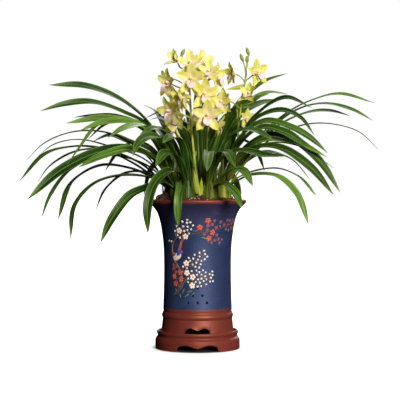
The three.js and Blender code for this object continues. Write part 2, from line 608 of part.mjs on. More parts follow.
// The lip: a small boat under the column that spreads and rolls down at its front. Rows
// run forward, columns run across, and the two faces share their edges.
function makeLip(each) {
  const rows = [
    { y: -2.2, z: 4.8, half: 2.2, raise: 0.2 },
    { y: -5.8, z: 10, half: 7, raise: 5.2 },
    { y: -7.2, z: 15.5, half: 6.4, raise: 4.4 },
    { y: -10.4, z: 19.6, half: 8, raise: 0.6 },
    { y: -17.6, z: 20.6, half: 5.6, raise: -0.6 },
  ];
  const columns = [-1, -0.5, 0, 0.5, 1];
  const thick = 1.3;
  const corners = [];
  rows.forEach(({ y, z, half, raise }, row) => {
    const before = rows[Math.max(0, row - 1)];
    const after = rows[Math.min(rows.length - 1, row + 1)];
    const forward = new THREE.Vector2(after.y - before.y, after.z - before.z).normalize();
    columns.forEach((column) => {
      const inner = Math.abs(column) < 1 ? thick / 2 : 0;
      const lift = raise * column * column;
      const up = new THREE.Vector2(forward.y, -forward.x);
      const at = (side) => new THREE.Vector3(
        column * half, y + up.x * (lift + side * inner), z + up.y * (lift + side * inner));
      corners.push(at(1), at(-1));
    });
  });
  const faces = [];
  const wide = columns.length;
  const corner = (row, column, side) => 2 * (row * wide + column) + side;
  const quad = (a, b, c, d) => faces.push(a, b, c, a, c, d);
  for (let row = 0; row < rows.length - 1; row += 1) {
    for (let column = 0; column < wide - 1; column += 1) {
      const ring = (side) => [
        corner(row, column, side), corner(row + 1, column, side),
        corner(row + 1, column + 1, side), corner(row, column + 1, side),
      ];
      const [a, b, c, d] = ring(0);
      const [e, f, g, h] = ring(1);
      quad(a, b, c, d);
      faces.push(e, g, f, e, h, g);
    }
  }
  for (let column = 0; column < wide - 1; column += 1) {
    const last = rows.length - 1;
    quad(corner(0, column, 0), corner(0, column + 1, 0),
      corner(0, column + 1, 1), corner(0, column, 1));
    quad(corner(last, column, 0), corner(last, column, 1),
      corner(last, column + 1, 1), corner(last, column + 1, 0));
  }
  const geometry = new THREE.BufferGeometry().setFromPoints(corners);
  geometry.setIndex(faces);
  return placed(solid(geometry), each);
}

// A flower stalk leaves the stem lower down, rises, and ends just behind its bloom.
function flowerStalk(stem, each) {
  const look = lookOf(each);
  const end = new THREE.Vector3(...each.at).addScaledVector(look, -(SEAT_GAP + 0.6 * each.size));
  const line = smoothLine(stem);
  let from = line.getPointAt(0);
  for (let i = 0; i <= 200; i += 1) {
    const here = line.getPointAt(i / 200);
    if (here.z < end.z - 16) from = here;
  }
  const behind = end.clone().addScaledVector(look, -9);
  behind.z = Math.max(behind.z - 3, from.z + 3);
  return stalk([from.toArray(), behind.toArray(), end.toArray()], STALK_RADIUS, 4, 3);
}

function makeSpike({ stem, buds, bracts, blooms }) {
  const pieces = [stalk(stem, SPIKE_RADIUS, 5, 10)];
  buds.forEach(({ from, over, start, tip }) => {
    const inside = new THREE.Vector3(...start).lerp(new THREE.Vector3(...tip), 0.2).toArray();
    pieces.push(stalk([from, over, inside], STALK_RADIUS, 4, 3), bud(start, tip, 4));
  });
  bracts.forEach(({ from, to, width }) => pieces.push(bract(from, to, width)));
  Object.values(blooms).forEach((each) => pieces.push(flowerStalk(stem, each)));
  return join(pieces);
}

// The plain hole that a spike's stem stands in
function spikeHole({ stem }) {
  const [x, y] = stem[0];
  const radius = SPIKE_RADIUS + SPIKE_HOLE_CLEAR;
  const under = SPIKE_BOTTOM - SEAT_GAP;
  const clear = BULB_TOP + 6;
  const profile = [[0, under], [radius, under], [radius, clear], [0, clear]];
  return solid(turned(profile, 7, x, y));
}

const orchid = new THREE.Group();
orchid.name = 'potted_cymbidium';
orchid.add(mesh('saucer', makeSaucer(), BARE_CLAY));
orchid.add(mesh('pot', makePot(), BLUE_SLIP));
const holes = [
  ...Object.values(GROWTHS).map(bulbHole),
  ...Object.values(SPIKES).map(spikeHole),
];
orchid.add(mesh('potting_mix', makePottingMix(holes), BARK));
Object.entries(GROWTHS).forEach(([name, growth]) => {
  orchid.add(mesh(`growth_${name}`, makeGrowth(growth), LEAF_GREEN));
});
Object.entries(SPIKES).forEach(([name, spike]) => {
  orchid.add(mesh(`spike_${name}`, makeSpike(spike), STALK_GREEN));
  Object.entries(spike.blooms).forEach(([place, each]) => {
    orchid.add(mesh(`bloom_${name}_${place}`, makeBloom(each), PETAL_YELLOW));
    if (each.open > 0.5) orchid.add(mesh(`lip_${name}_${place}`, makeLip(each), LIP_PINK));
  });
});

export default orchid;
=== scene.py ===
import bisect
import math
import random

import bmesh
import bpy
from mathutils import Matrix, Vector, noise


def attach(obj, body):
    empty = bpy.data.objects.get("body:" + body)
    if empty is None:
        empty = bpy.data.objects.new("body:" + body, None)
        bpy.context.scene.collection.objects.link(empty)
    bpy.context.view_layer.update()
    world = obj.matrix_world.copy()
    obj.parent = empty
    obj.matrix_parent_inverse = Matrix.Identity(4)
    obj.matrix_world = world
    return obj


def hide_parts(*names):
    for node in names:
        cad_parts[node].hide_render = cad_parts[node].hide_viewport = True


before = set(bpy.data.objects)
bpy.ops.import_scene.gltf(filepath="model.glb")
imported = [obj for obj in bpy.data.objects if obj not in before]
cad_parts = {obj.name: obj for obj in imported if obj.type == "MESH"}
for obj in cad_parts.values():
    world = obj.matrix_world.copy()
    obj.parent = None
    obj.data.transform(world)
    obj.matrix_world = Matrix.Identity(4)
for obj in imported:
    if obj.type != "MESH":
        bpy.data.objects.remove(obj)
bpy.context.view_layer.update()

# The saucer: one fired piece of purple clay, thrown as a low stand with a lip round its floor. Its
# three wide arches are cut out of the foot while the clay is leather-hard. It stands on the table
# and carries the pot.
MM = 0.001  # every size is in millimetres until its mesh is made
SAUCER_PROFILE = [
    (0, 24), (82, 24), (85, 0), (94.5, 0), (95.2, 6), (95.2, 18), (93.6, 24), (89.5, 28),
    (89.5, 31), (91.4, 35), (91.4, 38.5), (90, 41), (86.8, 40), (85.6, 32), (0, 32),
]
SAUCER_ARCH = [(0, 8), (7, 10), (16, 13), (27, 15), (38, 13), (45, 8), (46.5, 0)]
SAUCER_FOOT, SAUCER_FOOT_TOP = 0, 22
SAUCER_EDGE, SAUCER_FACETS = 0.9, 420  # how far its corners are rubbed round, and its facets
CORNER_STEPS = 4
CLAY_LIT, CLAY_DEEP, CLAY_GRAIN, CLAY_SHINE = "#7b3329", "#57221c", "#35130f", "#ffac94"


def linear(code):
    """A colour written as sRGB hex, in the linear light that shaders work in."""
    parts = [int(code[at:at + 2], 16) / 255 for at in (1, 3, 5)]
    return [p / 12.92 if p <= 0.04045 else ((p + 0.055) / 1.055) ** 2.4 for p in parts] + [1.0]


def new_finish(name, **constants):
    """A new surface finish: its material, its node tree and its shader, with constants set."""
    material = bpy.data.materials.new(name)
    material.use_nodes = True
    shader = material.node_tree.nodes["Principled BSDF"]
    for socket, value in constants.items():
        value = linear(value) if isinstance(value, str) else value
        shader.inputs[socket.replace("_", " ")].default_value = value
    return material, material.node_tree, shader


def add(tree, kind, inputs=(), out=0, **settings):
    """Adds a node with its settings and gives back one of its outputs. Its inputs, in their order
    or by name, are other nodes' outputs, numbers or hex colours."""
    node = tree.nodes.new(kind)
    for name, value in settings.items():
        setattr(node, name, value)
    for key, value in inputs.items() if isinstance(inputs, dict) else enumerate(inputs):
        if isinstance(value, bpy.types.NodeSocket):
            tree.links.new(value, node.inputs[key])
        else:
            node.inputs[key].default_value = linear(value) if isinstance(value, str) else value
    return node.outputs[out]


def eased(table, x):
    """Reads a smooth curve through (x, y) pairs at x."""
    keys = [pair[0] for pair in table]
    if x <= keys[0]:
        return table[0][1]
    if x >= keys[-1]:
        return table[-1][1]
    i = bisect.bisect_right(keys, x) - 1
    (x0, y0), (x1, y1) = table[i], table[i + 1]
    step = x1 - x0

    def slope(j):
        before, after = table[max(0, j - 1)], table[min(len(table) - 1, j + 1)]
        return (after[1] - before[1]) / (after[0] - before[0]) * step
    t = (x - x0) / step
    return ((2 * t**3 - 3 * t**2 + 1) * y0 + (t**3 - 2 * t**2 + t) * slope(i)
            + (3 * t**2 - 2 * t**3) * y1 + (t**3 - t**2) * slope(i + 1))


def rounded(profile, radius):
    """The profile with each corner replaced by a small curve."""
    made = [profile[0]]
    for before, at, after in zip(profile, profile[1:], profile[2:]):
        corner = Vector(at)
        into, out = Vector(before) - corner, Vector(after) - corner
        a = corner + into.normalized() * min(radius, into.length * 0.45)
        b = corner + out.normalized() * min(radius, out.length * 0.45)
        for i in range(CORNER_STEPS + 1):
            t = i / CORNER_STEPS
            made.append(tuple(a * (1 - t) ** 2 + corner * 2 * t * (1 - t) + b * t * t))
    return made + [profile[-1]]


class Shape:
    """The points, the faces and each point's values of one piece while it is being made."""

    def __init__(self):
        self.points, self.faces, self.values = [], [], {}

    def skin(self, rings, closed=False, **values):
        """Skins rings of equally many points, with flat ends or closed round to its start. A value
        is one number, or a list with one for each ring or one for each point of each ring."""
        first, count, rows = len(self.points), len(rings[0]), len(rings)
        for ring in rings:
            self.points.extend(ring)
        for row in range(rows if closed else rows - 1):
            a, b = first + row * count, first + (row + 1) % rows * count
            for i in range(count):
                j = (i + 1) % count
                self.faces.append((a + i, a + j, b + j, b + i))
        if not closed:
            self.faces.append(tuple(first + i for i in reversed(range(count))))
            self.faces.append(tuple(first + (rows - 1) * count + i for i in range(count)))
        for name, value in values.items():
            kept = self.values.setdefault(name, [])
            kept.extend([0.0] * (first - len(kept)))
            for row in range(rows):
                of_row = value[row] if isinstance(value, list) else value
                kept.extend(of_row if isinstance(of_row, list) else [of_row] * count)

    def piece(self, name, material, sharp=50):
        """The piece as an object at the origin, its faces turned outwards."""
        data = bpy.data.meshes.new(name)
        data.from_pydata([tuple(c * MM for c in point) for point in self.points], [], self.faces)
        for field, value in self.values.items():
            value = value + [0.0] * (len(self.points) - len(value))
            data.attributes.new(field, "FLOAT", "POINT").data.foreach_set("value", value)
        work = bmesh.new()
        work.from_mesh(data)
        bmesh.ops.remove_doubles(work, verts=work.verts, dist=1e-7)
        bmesh.ops.recalc_face_normals(work, faces=work.faces)
        work.to_mesh(data)
        work.free()
        data.shade_smooth()
        data.set_sharp_from_angle(angle=math.radians(sharp))
        data.materials.append(material)
        made = bpy.data.objects.new(name, data)
        bpy.context.scene.collection.objects.link(made)
        return made


def turned(profile, facets, reshape):
    """A turned piece, solid or with a hole down its middle; reshape moves each turned point."""
    shape = Shape()
    rings = []
    for i in range(facets):
        turn = 2 * math.pi * i / facets
        rings.append([reshape(r * math.sin(turn), -r * math.cos(turn), z) for r, z in profile])
    shape.skin(rings, closed=True)
    if profile[0][0] == 0:
        last = len(profile) - 1
        shape.faces = [face for face in shape.faces if face[0] % (last + 1) != last]
    return shape


def arched(outline, foot, top):
    """Lifts the lower edge of a foot into an arch at the front and a third of a turn from it."""
    def reshape(x, y, z):
        lift = 0.0
        if z < top:
            for turn in (0, 120, 240):
                a = math.radians(turn)
                across = x * math.cos(a) + y * math.sin(a)
                ahead = -(y * math.cos(a) - x * math.sin(a))
                if ahead > 0 and abs(across) < outline[-1][0]:
                    lift = eased(outline, abs(across)) - foot
            if lift > 0:
                z = foot + lift + (z - foot) * (top - foot - lift) / (top - foot)
        return Vector((x, y, z))
    return reshape


# Fired purple clay, bare: sandy and matt, red-brown, with fine pale and dark grains and faint
# rings from the wheel, so it drinks most light and shows a soft shine only along its edges.
FIRING_CLOUD_MM, WHEEL_RING_MM = 28, 3.5
GRAIN_MM = 1.8  # real grains are 0.5 mm, drawn as coarse as shows
bare_clay, tree, shader = new_finish("bare_purple_clay", Roughness=0.5, IOR=1.5,
                                     Specular_IOR_Level=0.8, Specular_Tint=CLAY_SHINE)


def clay_colour(tree):
    """The clay's colour and relief, and then the place, height and cloud that the slip needs."""
    place = add(tree, "ShaderNodeTexCoord", out="Object")
    height = add(tree, "ShaderNodeSeparateXYZ", (place,), "Z")
    cloud = add(tree, "ShaderNodeTexNoise", {
        "Vector": place, "Scale": 1 / (FIRING_CLOUD_MM * MM), "Detail": 5.0}, "Fac")
    grain = add(tree, "ShaderNodeTexVoronoi", {
        "Vector": place, "Scale": 1 / (GRAIN_MM * MM)}, "Distance")
    rings = add(tree, "ShaderNodeTexNoise", {
        "W": height, "Scale": 1 / (WHEEL_RING_MM * MM), "Detail": 2.0}, "Fac", noise_dimensions="1D")
    ring_share = add(tree, "ShaderNodeMapRange", (rings, 0.4, 0.7, 0.0, 0.25))
    grain_share = add(tree, "ShaderNodeMapRange", (grain, 0.12, 0.3, 0.45, 0.0))
    fired = CLAY_DEEP
    for share, shade in ((cloud, CLAY_LIT), (ring_share, CLAY_DEEP), (grain_share, CLAY_GRAIN)):
        fired = add(tree, "ShaderNodeMix", {0: share, 6: fired, 7: shade}, 2, data_type="RGBA")
    relief = add(tree, "ShaderNodeMath", (rings, grain), operation="ADD")
    return fired, relief, place, height, cloud


fired, relief = clay_colour(tree)[:2]
bump = add(tree, "ShaderNodeBump", {"Height": relief, "Strength": 0.3, "Distance": 0.6 * MM})
tree.links.new(fired, shader.inputs["Base Color"])
tree.links.new(bump, shader.inputs["Normal"])

saucer = turned(
    rounded(SAUCER_PROFILE, SAUCER_EDGE), SAUCER_FACETS,
    arched(SAUCER_ARCH, SAUCER_FOOT, SAUCER_FOOT_TOP),
).piece("saucer_stand", bare_clay, sharp=40)
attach(saucer, "root")
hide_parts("saucer")

# The pot: the same clay, thrown tall and waisted with a rolled rim, a bead over its foot, three
# cloud-shaped arches in the foot ring and six vent holes low in its front. Between rim and foot
# it wears a coat of blue slip, brushed on before the one firing.
POT_OUTSIDE = [
    (82.3, 32.3), (79.8, 53.5), (78.6, 65.5), (78.2, 68.3), (79.2, 70.5), (80.2, 74), (79.4, 78.5),
    (77.4, 82), (76.8, 84), (77.2, 87), (77.2, 92), (76.4, 116), (75.6, 150), (75.4, 188),
    (76.0, 218), (77.6, 242), (80.0, 260), (82.3, 275), (85.2, 288), (88.9, 300), (92.7, 308),
    (97.3, 314.5), (102.4, 320), (106.6, 323.6), (108.8, 326), (110, 329.5), (109.6, 332.6),
    (107.4, 334), (103, 333.2),
]
POT_INSIDE = [(99, 326), (90, 315), (82, 302), (72, 260), (67.9, 190), (69.4, 100), (68.6, 68), (9, 68)]
POT_UNDERSIDE = [(9, 60), (70, 60), (73, 32.3)]
POT_FOOT, POT_FOOT_TOP = 32.3, 58
POT_ARCH = [(0, 45.5), (6, 48.5), (14, 52), (22, 49.5), (27.5, 42), (28.5, 32.3)]
RIM_EDGE, POT_FACETS = 1.4, 300
VENTS = [(0, 140), (-10.5, 123), (10.5, 123), (-20, 107), (0.5, 107), (21, 107)]
VENT_RADIUS, VENT_FACETS = 2.4, 20
VENT_FRONT, VENT_BACK = -90, -60  # where a drill starts and ends, on both sides of the front wall
SLIP_FROM, SLIP_TO = 91, 326
SLIP_CLAY_MIX_FROM, SLIP_CLAY_MIX_TO = 270, 318
SLIP_NAVY, SLIP_WORN, SLIP_CLOUD, SLIP_SHINE = "#222f52", "#35456f", "#1b2645", "#a9b9ec"


def pot_radius(height):
    """The pot's outer radius, up to where its rim begins to roll over."""
    return eased([(z, r) for r, z in POT_OUTSIDE[:-3]], height)


# The wall is made of rings of points that lie closer together over the bead
pot_outline = list(POT_UNDERSIDE)
for z in (*range(34, 62, 4), *range(62, 92), *range(92, 326, 4)):
    pot_outline.append((pot_radius(z), z))
pot_outline += rounded(POT_OUTSIDE[-6:], RIM_EDGE)[1:] + POT_INSIDE
pot_shape = turned(pot_outline, POT_FACETS, arched(POT_ARCH, POT_FOOT, POT_FOOT_TOP))

# Blue slip: watered clay with cobalt, brushed on and left unglazed, so it is a little sandy and
# softly shiny beside the bare clay, cloudy, soft at its lower edge and mixed in clouds with some
# of the clay's colour below the rim.
BRUSHING_MM = 50
SAND_MM = 2.2  # real sand in the slip is 0.3 mm, drawn as coarse as shows
slip_over_clay, tree, shader = new_finish("blue_slip_over_clay", IOR=1.5, Specular_IOR_Level=1.0)
bare, relief, place, height, cloud = clay_colour(tree)
brushed = add(tree, "ShaderNodeTexNoise", {
    "Vector": place, "Scale": 1 / (BRUSHING_MM * MM), "Detail": 6.0}, "Fac")
sand = add(tree, "ShaderNodeTexNoise", {
    "Vector": place, "Scale": 1 / (SAND_MM * MM), "Detail": 2.0}, "Fac")
worn = add(tree, "ShaderNodeMapRange", (cloud, 0.52, 0.75, 0.0, 0.5))
sandy = add(tree, "ShaderNodeMapRange", (sand, 0.5, 0.75, 0.0, 0.5))
below_rim = add(tree, "ShaderNodeMapRange", (height, SLIP_CLAY_MIX_FROM * MM, SLIP_CLAY_MIX_TO * MM))
# Below the rim, clouds of the clay's colour are mixed into the slip, more towards the rim
thin = add(tree, "ShaderNodeMath", (below_rim, cloud), operation="MULTIPLY")
thin = add(tree, "ShaderNodeMath", (thin, 0.3), operation="MULTIPLY")
slip = SLIP_CLOUD
for share, shade in ((brushed, SLIP_NAVY), (worn, SLIP_WORN), (sandy, SLIP_WORN), (thin, bare)):
    slip = add(tree, "ShaderNodeMix", {0: share, 6: slip, 7: shade}, 2, data_type="RGBA")
# The coat ends in a wandering line above the foot, in a clean one at the rim, and at the wall: the
# inside of the pot is bare
wander = add(tree, "ShaderNodeMath", (cloud, 4 * MM, height), operation="MULTIPLY_ADD")
lower_edge = add(tree, "ShaderNodeMapRange", (wander, (SLIP_FROM + 0.5) * MM, (SLIP_FROM + 4.5) * MM))
upper_edge = add(tree, "ShaderNodeMapRange", (height, (SLIP_TO + 0.4) * MM, (SLIP_TO - 0.4) * MM))
flat_place = add(tree, "ShaderNodeVectorMath", (place, (1.0, 1.0, 0.0)), operation="MULTIPLY")
from_axis = add(tree, "ShaderNodeVectorMath", (flat_place,), "Value", operation="LENGTH")
outside = add(tree, "ShaderNodeMapRange", (from_axis, 74.2 * MM, 74.8 * MM))
coat = add(tree, "ShaderNodeMath", (lower_edge, upper_edge), operation="MULTIPLY")
coat = add(tree, "ShaderNodeMath", (coat, outside), operation="MULTIPLY")
relief = add(tree, "ShaderNodeMath", (relief, sand), operation="ADD")
bump = add(tree, "ShaderNodeBump", {"Height": relief, "Strength": 0.22, "Distance": 0.5 * MM})
roughness = add(tree, "ShaderNodeMapRange", (coat, 0.0, 1.0, 0.5, 0.54))
tree.links.new(roughness, shader.inputs["Roughness"])
for socket, below, above in (("Base Color", bare, slip), ("Specular Tint", CLAY_SHINE, SLIP_SHINE)):
    shade = add(tree, "ShaderNodeMix", {0: coat, 6: below, 7: above}, 2, data_type="RGBA")
    tree.links.new(shade, shader.inputs[socket])
tree.links.new(bump, shader.inputs["Normal"])

pot = pot_shape.piece("pot_body", slip_over_clay, sharp=40)
drills = Shape()
for x, z in VENTS:
    rings = []
    for y in (VENT_FRONT, VENT_BACK):
        rings.append([Vector((x + VENT_RADIUS * math.cos(2 * math.pi * k / VENT_FACETS), y,
                              z + VENT_RADIUS * math.sin(2 * math.pi * k / VENT_FACETS)))
                      for k in range(VENT_FACETS)])
    drills.skin(rings)
drill = drills.piece("vent_drills", slip_over_clay)
cut = pot.modifiers.new("vents", "BOOLEAN")
cut.operation, cut.solver, cut.object = "DIFFERENCE", "EXACT", drill
bpy.context.view_layer.update()
drilled = bpy.data.meshes.new_from_object(pot.evaluated_get(bpy.context.evaluated_depsgraph_get()))
pot.modifiers.clear()
pot.data = drilled
bpy.data.objects.remove(drill)
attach(pot, "root")
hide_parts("pot")

# The painting on the pot's front: the traditional plum bough in blossom with a small bird, laid on
# by hand in thick coloured slips that stand half a millimetre proud. Twigs leave the bough by
# rule, to one side and the other, and the blossoms are scattered along them.
DESIGN_RADIUS = 78  # a place on the front is an arc along this radius, and a height
PAINT_SUNK, PAINT_LOW, PAINT_PROUD = 0.25, 0.3, 0.55
# Widths at the start and the end of a stroke; the light strokes run along both sides of a bough
BOUGH_WIDTHS, SPRAY_WIDTHS, TWIG_WIDTHS, LIGHT_WIDTHS = (3.0, 1.2), (1.4, 0.6), (0.8, 0.5), (0.9, 0.5)
BOUGHS = [
    [(-60, 124), (-48, 134), (-38, 150), (-37, 168), (-46, 186), (-58, 200), (-63, 218),
     (-62, 234), (-52, 248), (-34, 257), (-10, 260), (16, 262), (42, 268), (70, 276), (98, 282)],
    [(-52, 126), (-40, 137), (-31, 152), (-22, 164)],
]
# Each spray: where it leaves its bough, its turn in degrees, its length and half width, its large
# and small paints, and how many large blossoms and small ones it has
SPRAYS = [
    ((-50, 250), 46, 50, 17, "white", "white", 2, 16),
    ((-2, 262), 20, 66, 17, "coral", "rose", 3, 9),
    ((12, 262), -24, 50, 12, "coral", "rose", 1, 7),
    ((52, 272), 10, 56, 15, "rose", "rose", 0, 12),
    ((-36, 172), 40, 72, 17, "white", "white", 2, 20),
    ((-34, 160), 4, 70, 19, "white", "white", 2, 24),
    ((-44, 140), 106, 54, 13, "coral", "red", 4, 12),
    ((-61, 236), 140, 14, 4, "white", "white", 0, 2),
]
# Each young leaf: where it starts, its turn in degrees and its length
YOUNG_LEAVES = [
    (-36, 128, 62, 12), (-30, 120, 35, 14), (-24, 131, 14, 12), (-40, 118, 100, 10),
    (8, 252, -14, 12), (-8, 264, 22, 10), (-14, 124, 40, 10), (-50, 132, 130, 8),
]
# How far the petals of each sort of blossom reach, and the room it keeps round it. A spray looks
# for places until it has all its blossoms or has tried this often
LARGE_SIZE, SMALL_SIZES, WHITE_SIZES = 7.2, (3.4, 4.6), (2.3, 2.9)
LARGE_ROOM, SMALL_ROOM, WHITE_ROOM = 6.8, 4.2, 3.6
PLACE_TRIES = 900
# Each paint: its darker and its lighter touches
PAINTS = {
    "bough": ("#4a2d1e", "#7a4f30"), "twig": ("#8f6c42", "#b8955c"),
    "white": ("#ece4d8", "#ffffff"), "cream": ("#dcae86", "#f4d8b8"),
    "coral": ("#c04a34", "#e87f5c"), "red": ("#8c2a22", "#bd4430"), "rose": ("#7c3440", "#a8525c"),
    "mauve": ("#5c4a6c", "#8a7a94"),
    "heart": ("#c79a3a", "#e2c05c"), "green": ("#3f6a4c", "#6d9a63"),
    "wing_blue": ("#2340b8", "#4468e0"), "wing_dark": ("#141c50", "#1e2a6c"),
    "tail_red": ("#a8452c", "#cf6a40"),
    "breast": ("#e4d6c6", "#f8f1e6"),
}
OUTLINE_PAINTS = {"white": "cream", "coral": "red", "red": "rose", "rose": "mauve"}
painting = {name: Shape() for name in PAINTS}
random_paint = random.Random(11)


def on_pot(arc, height, proud):
    """A place on the pot's front that stands so far proud of the slip."""
    turn = arc / DESIGN_RADIUS
    radius = pot_radius(height) + proud
    return Vector((radius * math.sin(turn), -radius * math.cos(turn), height))


def dab(paint, arc, height, long, wide, turn, corners=10, thick=PAINT_PROUD):
    """One touch of the brush: a low oval mound with its edge sunk in the slip below."""
    c, s = math.cos(math.radians(turn)), math.sin(math.radians(turn))
    rings = []
    for grow, proud in ((1.0, -PAINT_SUNK), (1.0, 0.12), (0.7, thick), (0.1, thick + 0.1)):
        ring = []
        for i in range(corners):
            a = 2 * math.pi * i / corners
            u, v = grow * long * math.cos(a), grow * wide * math.sin(a)
            ring.append(on_pot(arc + u * c - v * s, height + u * s + v * c, proud))
        rings.append(ring)
    painting[paint].skin(rings, tint=random_paint.random())


def stroke(paint, course, thick, thin, high=PAINT_PROUD):
    """A long touch of the brush that thins towards its end."""
    rings = []
    for i, (arc, height) in enumerate(course):
        before, after = course[max(0, i - 1)], course[min(len(course) - 1, i + 1)]
        along = Vector((after[0] - before[0], after[1] - before[1])).normalized()
        half = (thick + (thin - thick) * i / (len(course) - 1)) / 2
        ring = []
        for side, proud in ((-1, -PAINT_SUNK), (-0.6, high - 0.2), (0, high), (0.6, high - 0.2),
                            (1, -PAINT_SUNK)):
            ring.append(on_pot(arc - along.y * side * half, height + along.x * side * half, proud))
        rings.append(ring)
    painting[paint].skin(rings, tint=random_paint.random())


def smooth_line(points, steps):
    """Places and directions, evenly spaced along the smooth curve through the points. The curve
    is the centripetal one that the solids follow."""
    points = [Vector(p) for p in points]
    full = [2 * points[0] - points[1]] + points + [2 * points[-1] - points[-2]]
    dense = []
    fine = 24
    for i in range(1, len(full) - 2):
        p0, p1, p2, p3 = full[i - 1:i + 3]
        d0, d1, d2 = (max((b - a).length ** 0.5, 1e-4) for a, b in ((p0, p1), (p1, p2), (p2, p3)))
        t1 = ((p1 - p0) / d0 - (p2 - p0) / (d0 + d1) + (p2 - p1) / d1) * d1
        t2 = ((p2 - p1) / d1 - (p3 - p1) / (d1 + d2) + (p3 - p2) / d2) * d1
        for j in range(fine):
            t = j / fine
            dense.append(p1 + t1 * t + (3 * (p2 - p1) - 2 * t1 - t2) * t * t
                         + (2 * (p1 - p2) + t1 + t2) * t**3)
    dense.append(full[-2])
    walked = [0.0]
    for a, b in zip(dense, dense[1:]):
        walked.append(walked[-1] + (b - a).length)
    made = []
    for i in range(steps + 1):
        want = walked[-1] * i / steps
        j = min(max(bisect.bisect_right(walked, want) - 1, 0), len(dense) - 2)
        part = (want - walked[j]) / max(walked[j + 1] - walked[j], 1e-9)
        before, after = dense[max(j - 1, 0)], dense[min(j + 2, len(dense) - 1)]
        made.append((dense[j].lerp(dense[j + 1], part), (after - before).normalized()))
    return made


def flat_line(course, steps):
    """A smooth line through places on the pot's front, as evenly spaced places."""
    return [(p.x, p.y) for p, _ in smooth_line([(arc, height, 0) for arc, height in course], steps)]


def blossom(paint, arc, height, size, fine=True):
    """Five round petals and a golden heart. A fine one lies on a second paint, its outline."""
    start = random_paint.uniform(0, 72)
    for k in range(5):
        turn = start + 72 * k
        c, s = math.cos(math.radians(turn)), math.sin(math.radians(turn))
        if fine:
            dab(OUTLINE_PAINTS[paint], arc + size * 0.5 * c, height + size * 0.5 * s,
                size * 0.5, size * 0.42, turn, thick=PAINT_LOW)
            dab(paint, arc + size * 0.56 * c, height + size * 0.56 * s,
                size * 0.37, size * 0.31, turn)
        else:
            dab(paint, arc + size * 0.5 * c, height + size * 0.5 * s,
                size * 0.48, size * 0.36, turn, corners=8)
    dab("heart", arc, height, size * 0.15, size * 0.15, 0, corners=6, thick=0.65)


def along_spray(spray, share, aside):
    """A place on the pot's front, that share of a spray's length along it and so far to its side."""
    (arc, height), turn, length = spray[:3]
    c, s = math.cos(math.radians(turn)), math.sin(math.radians(turn))
    return arc + c * length * share - s * aside, height + s * length * share + c * aside


for course in BOUGHS:
    stroke("bough", flat_line(course, 60), *BOUGH_WIDTHS)
    for shift in (-0.8, 0.9):
        beside = [(arc + shift, height + shift * 0.4) for arc, height in course]
        stroke("twig", flat_line(beside, 60), *LIGHT_WIDTHS)
painted = []
for spray in SPRAYS:
    _, turn, length, spread, large, small, large_count, small_count = spray
    spine = [along_spray(spray, share, aside) for share, aside in ((0, 0), (0.5, 2), (0.9, 0))]
    stroke("bough", flat_line(spine, 12), *SPRAY_WIDTHS)
    taken = []
    for _ in range(PLACE_TRIES):
        big = len(taken) < large_count
        room = LARGE_ROOM if big else (WHITE_ROOM if small == "white" else SMALL_ROOM)
        share = random_paint.uniform(0.12, 0.6) if big else random_paint.uniform(0.15, 1.0)
        aside = random_paint.uniform(-1, 1) * spread * math.sin(math.pi * min(share, 0.88)) ** 0.5
        here = along_spray(spray, share, aside)
        if any(math.dist(here, there) < room + other for there, other in taken + painted):
            continue
        taken.append((here, room))
        share = max(0.03, share * 0.85 - 0.6 * abs(aside) / length)
        foot = along_spray(spray, share, 2 * math.sin(math.pi * share))
        bend = ((foot[0] + here[0]) / 2 - math.sin(math.radians(turn)) * aside * 0.12,
                (foot[1] + here[1]) / 2 + math.cos(math.radians(turn)) * aside * 0.12)
        stroke("twig" if small == "white" else "bough", flat_line([foot, bend, here], 4), *TWIG_WIDTHS)
        if big:
            blossom(large, *here, LARGE_SIZE)
        elif small == "white":
            blossom(small, *here, random_paint.uniform(*WHITE_SIZES), fine=False)
        else:
            blossom(small, *here, random_paint.uniform(*SMALL_SIZES))
        if len(taken) == large_count + small_count:
            break
    painted += taken
for arc, height, turn, length in YOUNG_LEAVES:
    a = math.radians(turn)
    dab("green", arc + length / 2 * math.cos(a), height + length / 2 * math.sin(a),
        length / 2, 1.4, turn)
# The bird sits on the bough and looks back over its shoulder: tail, breast, back, wing with its
# quills, head, eye, beak and legs
for shift, tip in ((-1.6, (-37, 246)), (0.0, (-34, 252)), (1.8, (-31, 247))):
    feather = [(-44 + shift, 221), (-41 + shift, 230), (-38 + shift, 239), tip]
    stroke("tail_red", flat_line(feather, 12), 4.6, 1.4)
dab("breast", -49, 209, 11.5, 7.6, 30, corners=24)
dab("tail_red", -39, 218, 5.6, 3.4, 50, corners=16)
dab("wing_blue", -44.5, 217, 10.5, 5.4, 56, corners=24, thick=0.7)
for k in range(4):
    quill = [(-47 + 1.8 * k, 211 + 0.6 * k), (-44 + 2.0 * k, 217 + 0.8 * k),
             (-40.5 + 1.4 * k, 224 - 0.6 * k)]
    stroke("wing_dark", flat_line(quill, 6), 0.9, 0.4, high=0.95)
dab("red", -57.5, 214, 5.0, 4.3, 20, corners=20, thick=0.7)
dab("breast", -58.6, 215.2, 1.1, 1.1, 0, corners=8, thick=0.95)
dab("wing_dark", -58.7, 215.3, 0.5, 0.5, 0, corners=6, thick=1.15)
stroke("heart", [(-61.5, 214.6), (-64, 213.6), (-66.5, 212.6)], 2.0, 0.3)
for foot in (-50, -46):
    stroke("twig", [(foot, 204), (foot - 4, 199), (foot - 7, 196)], 0.8, 0.6)

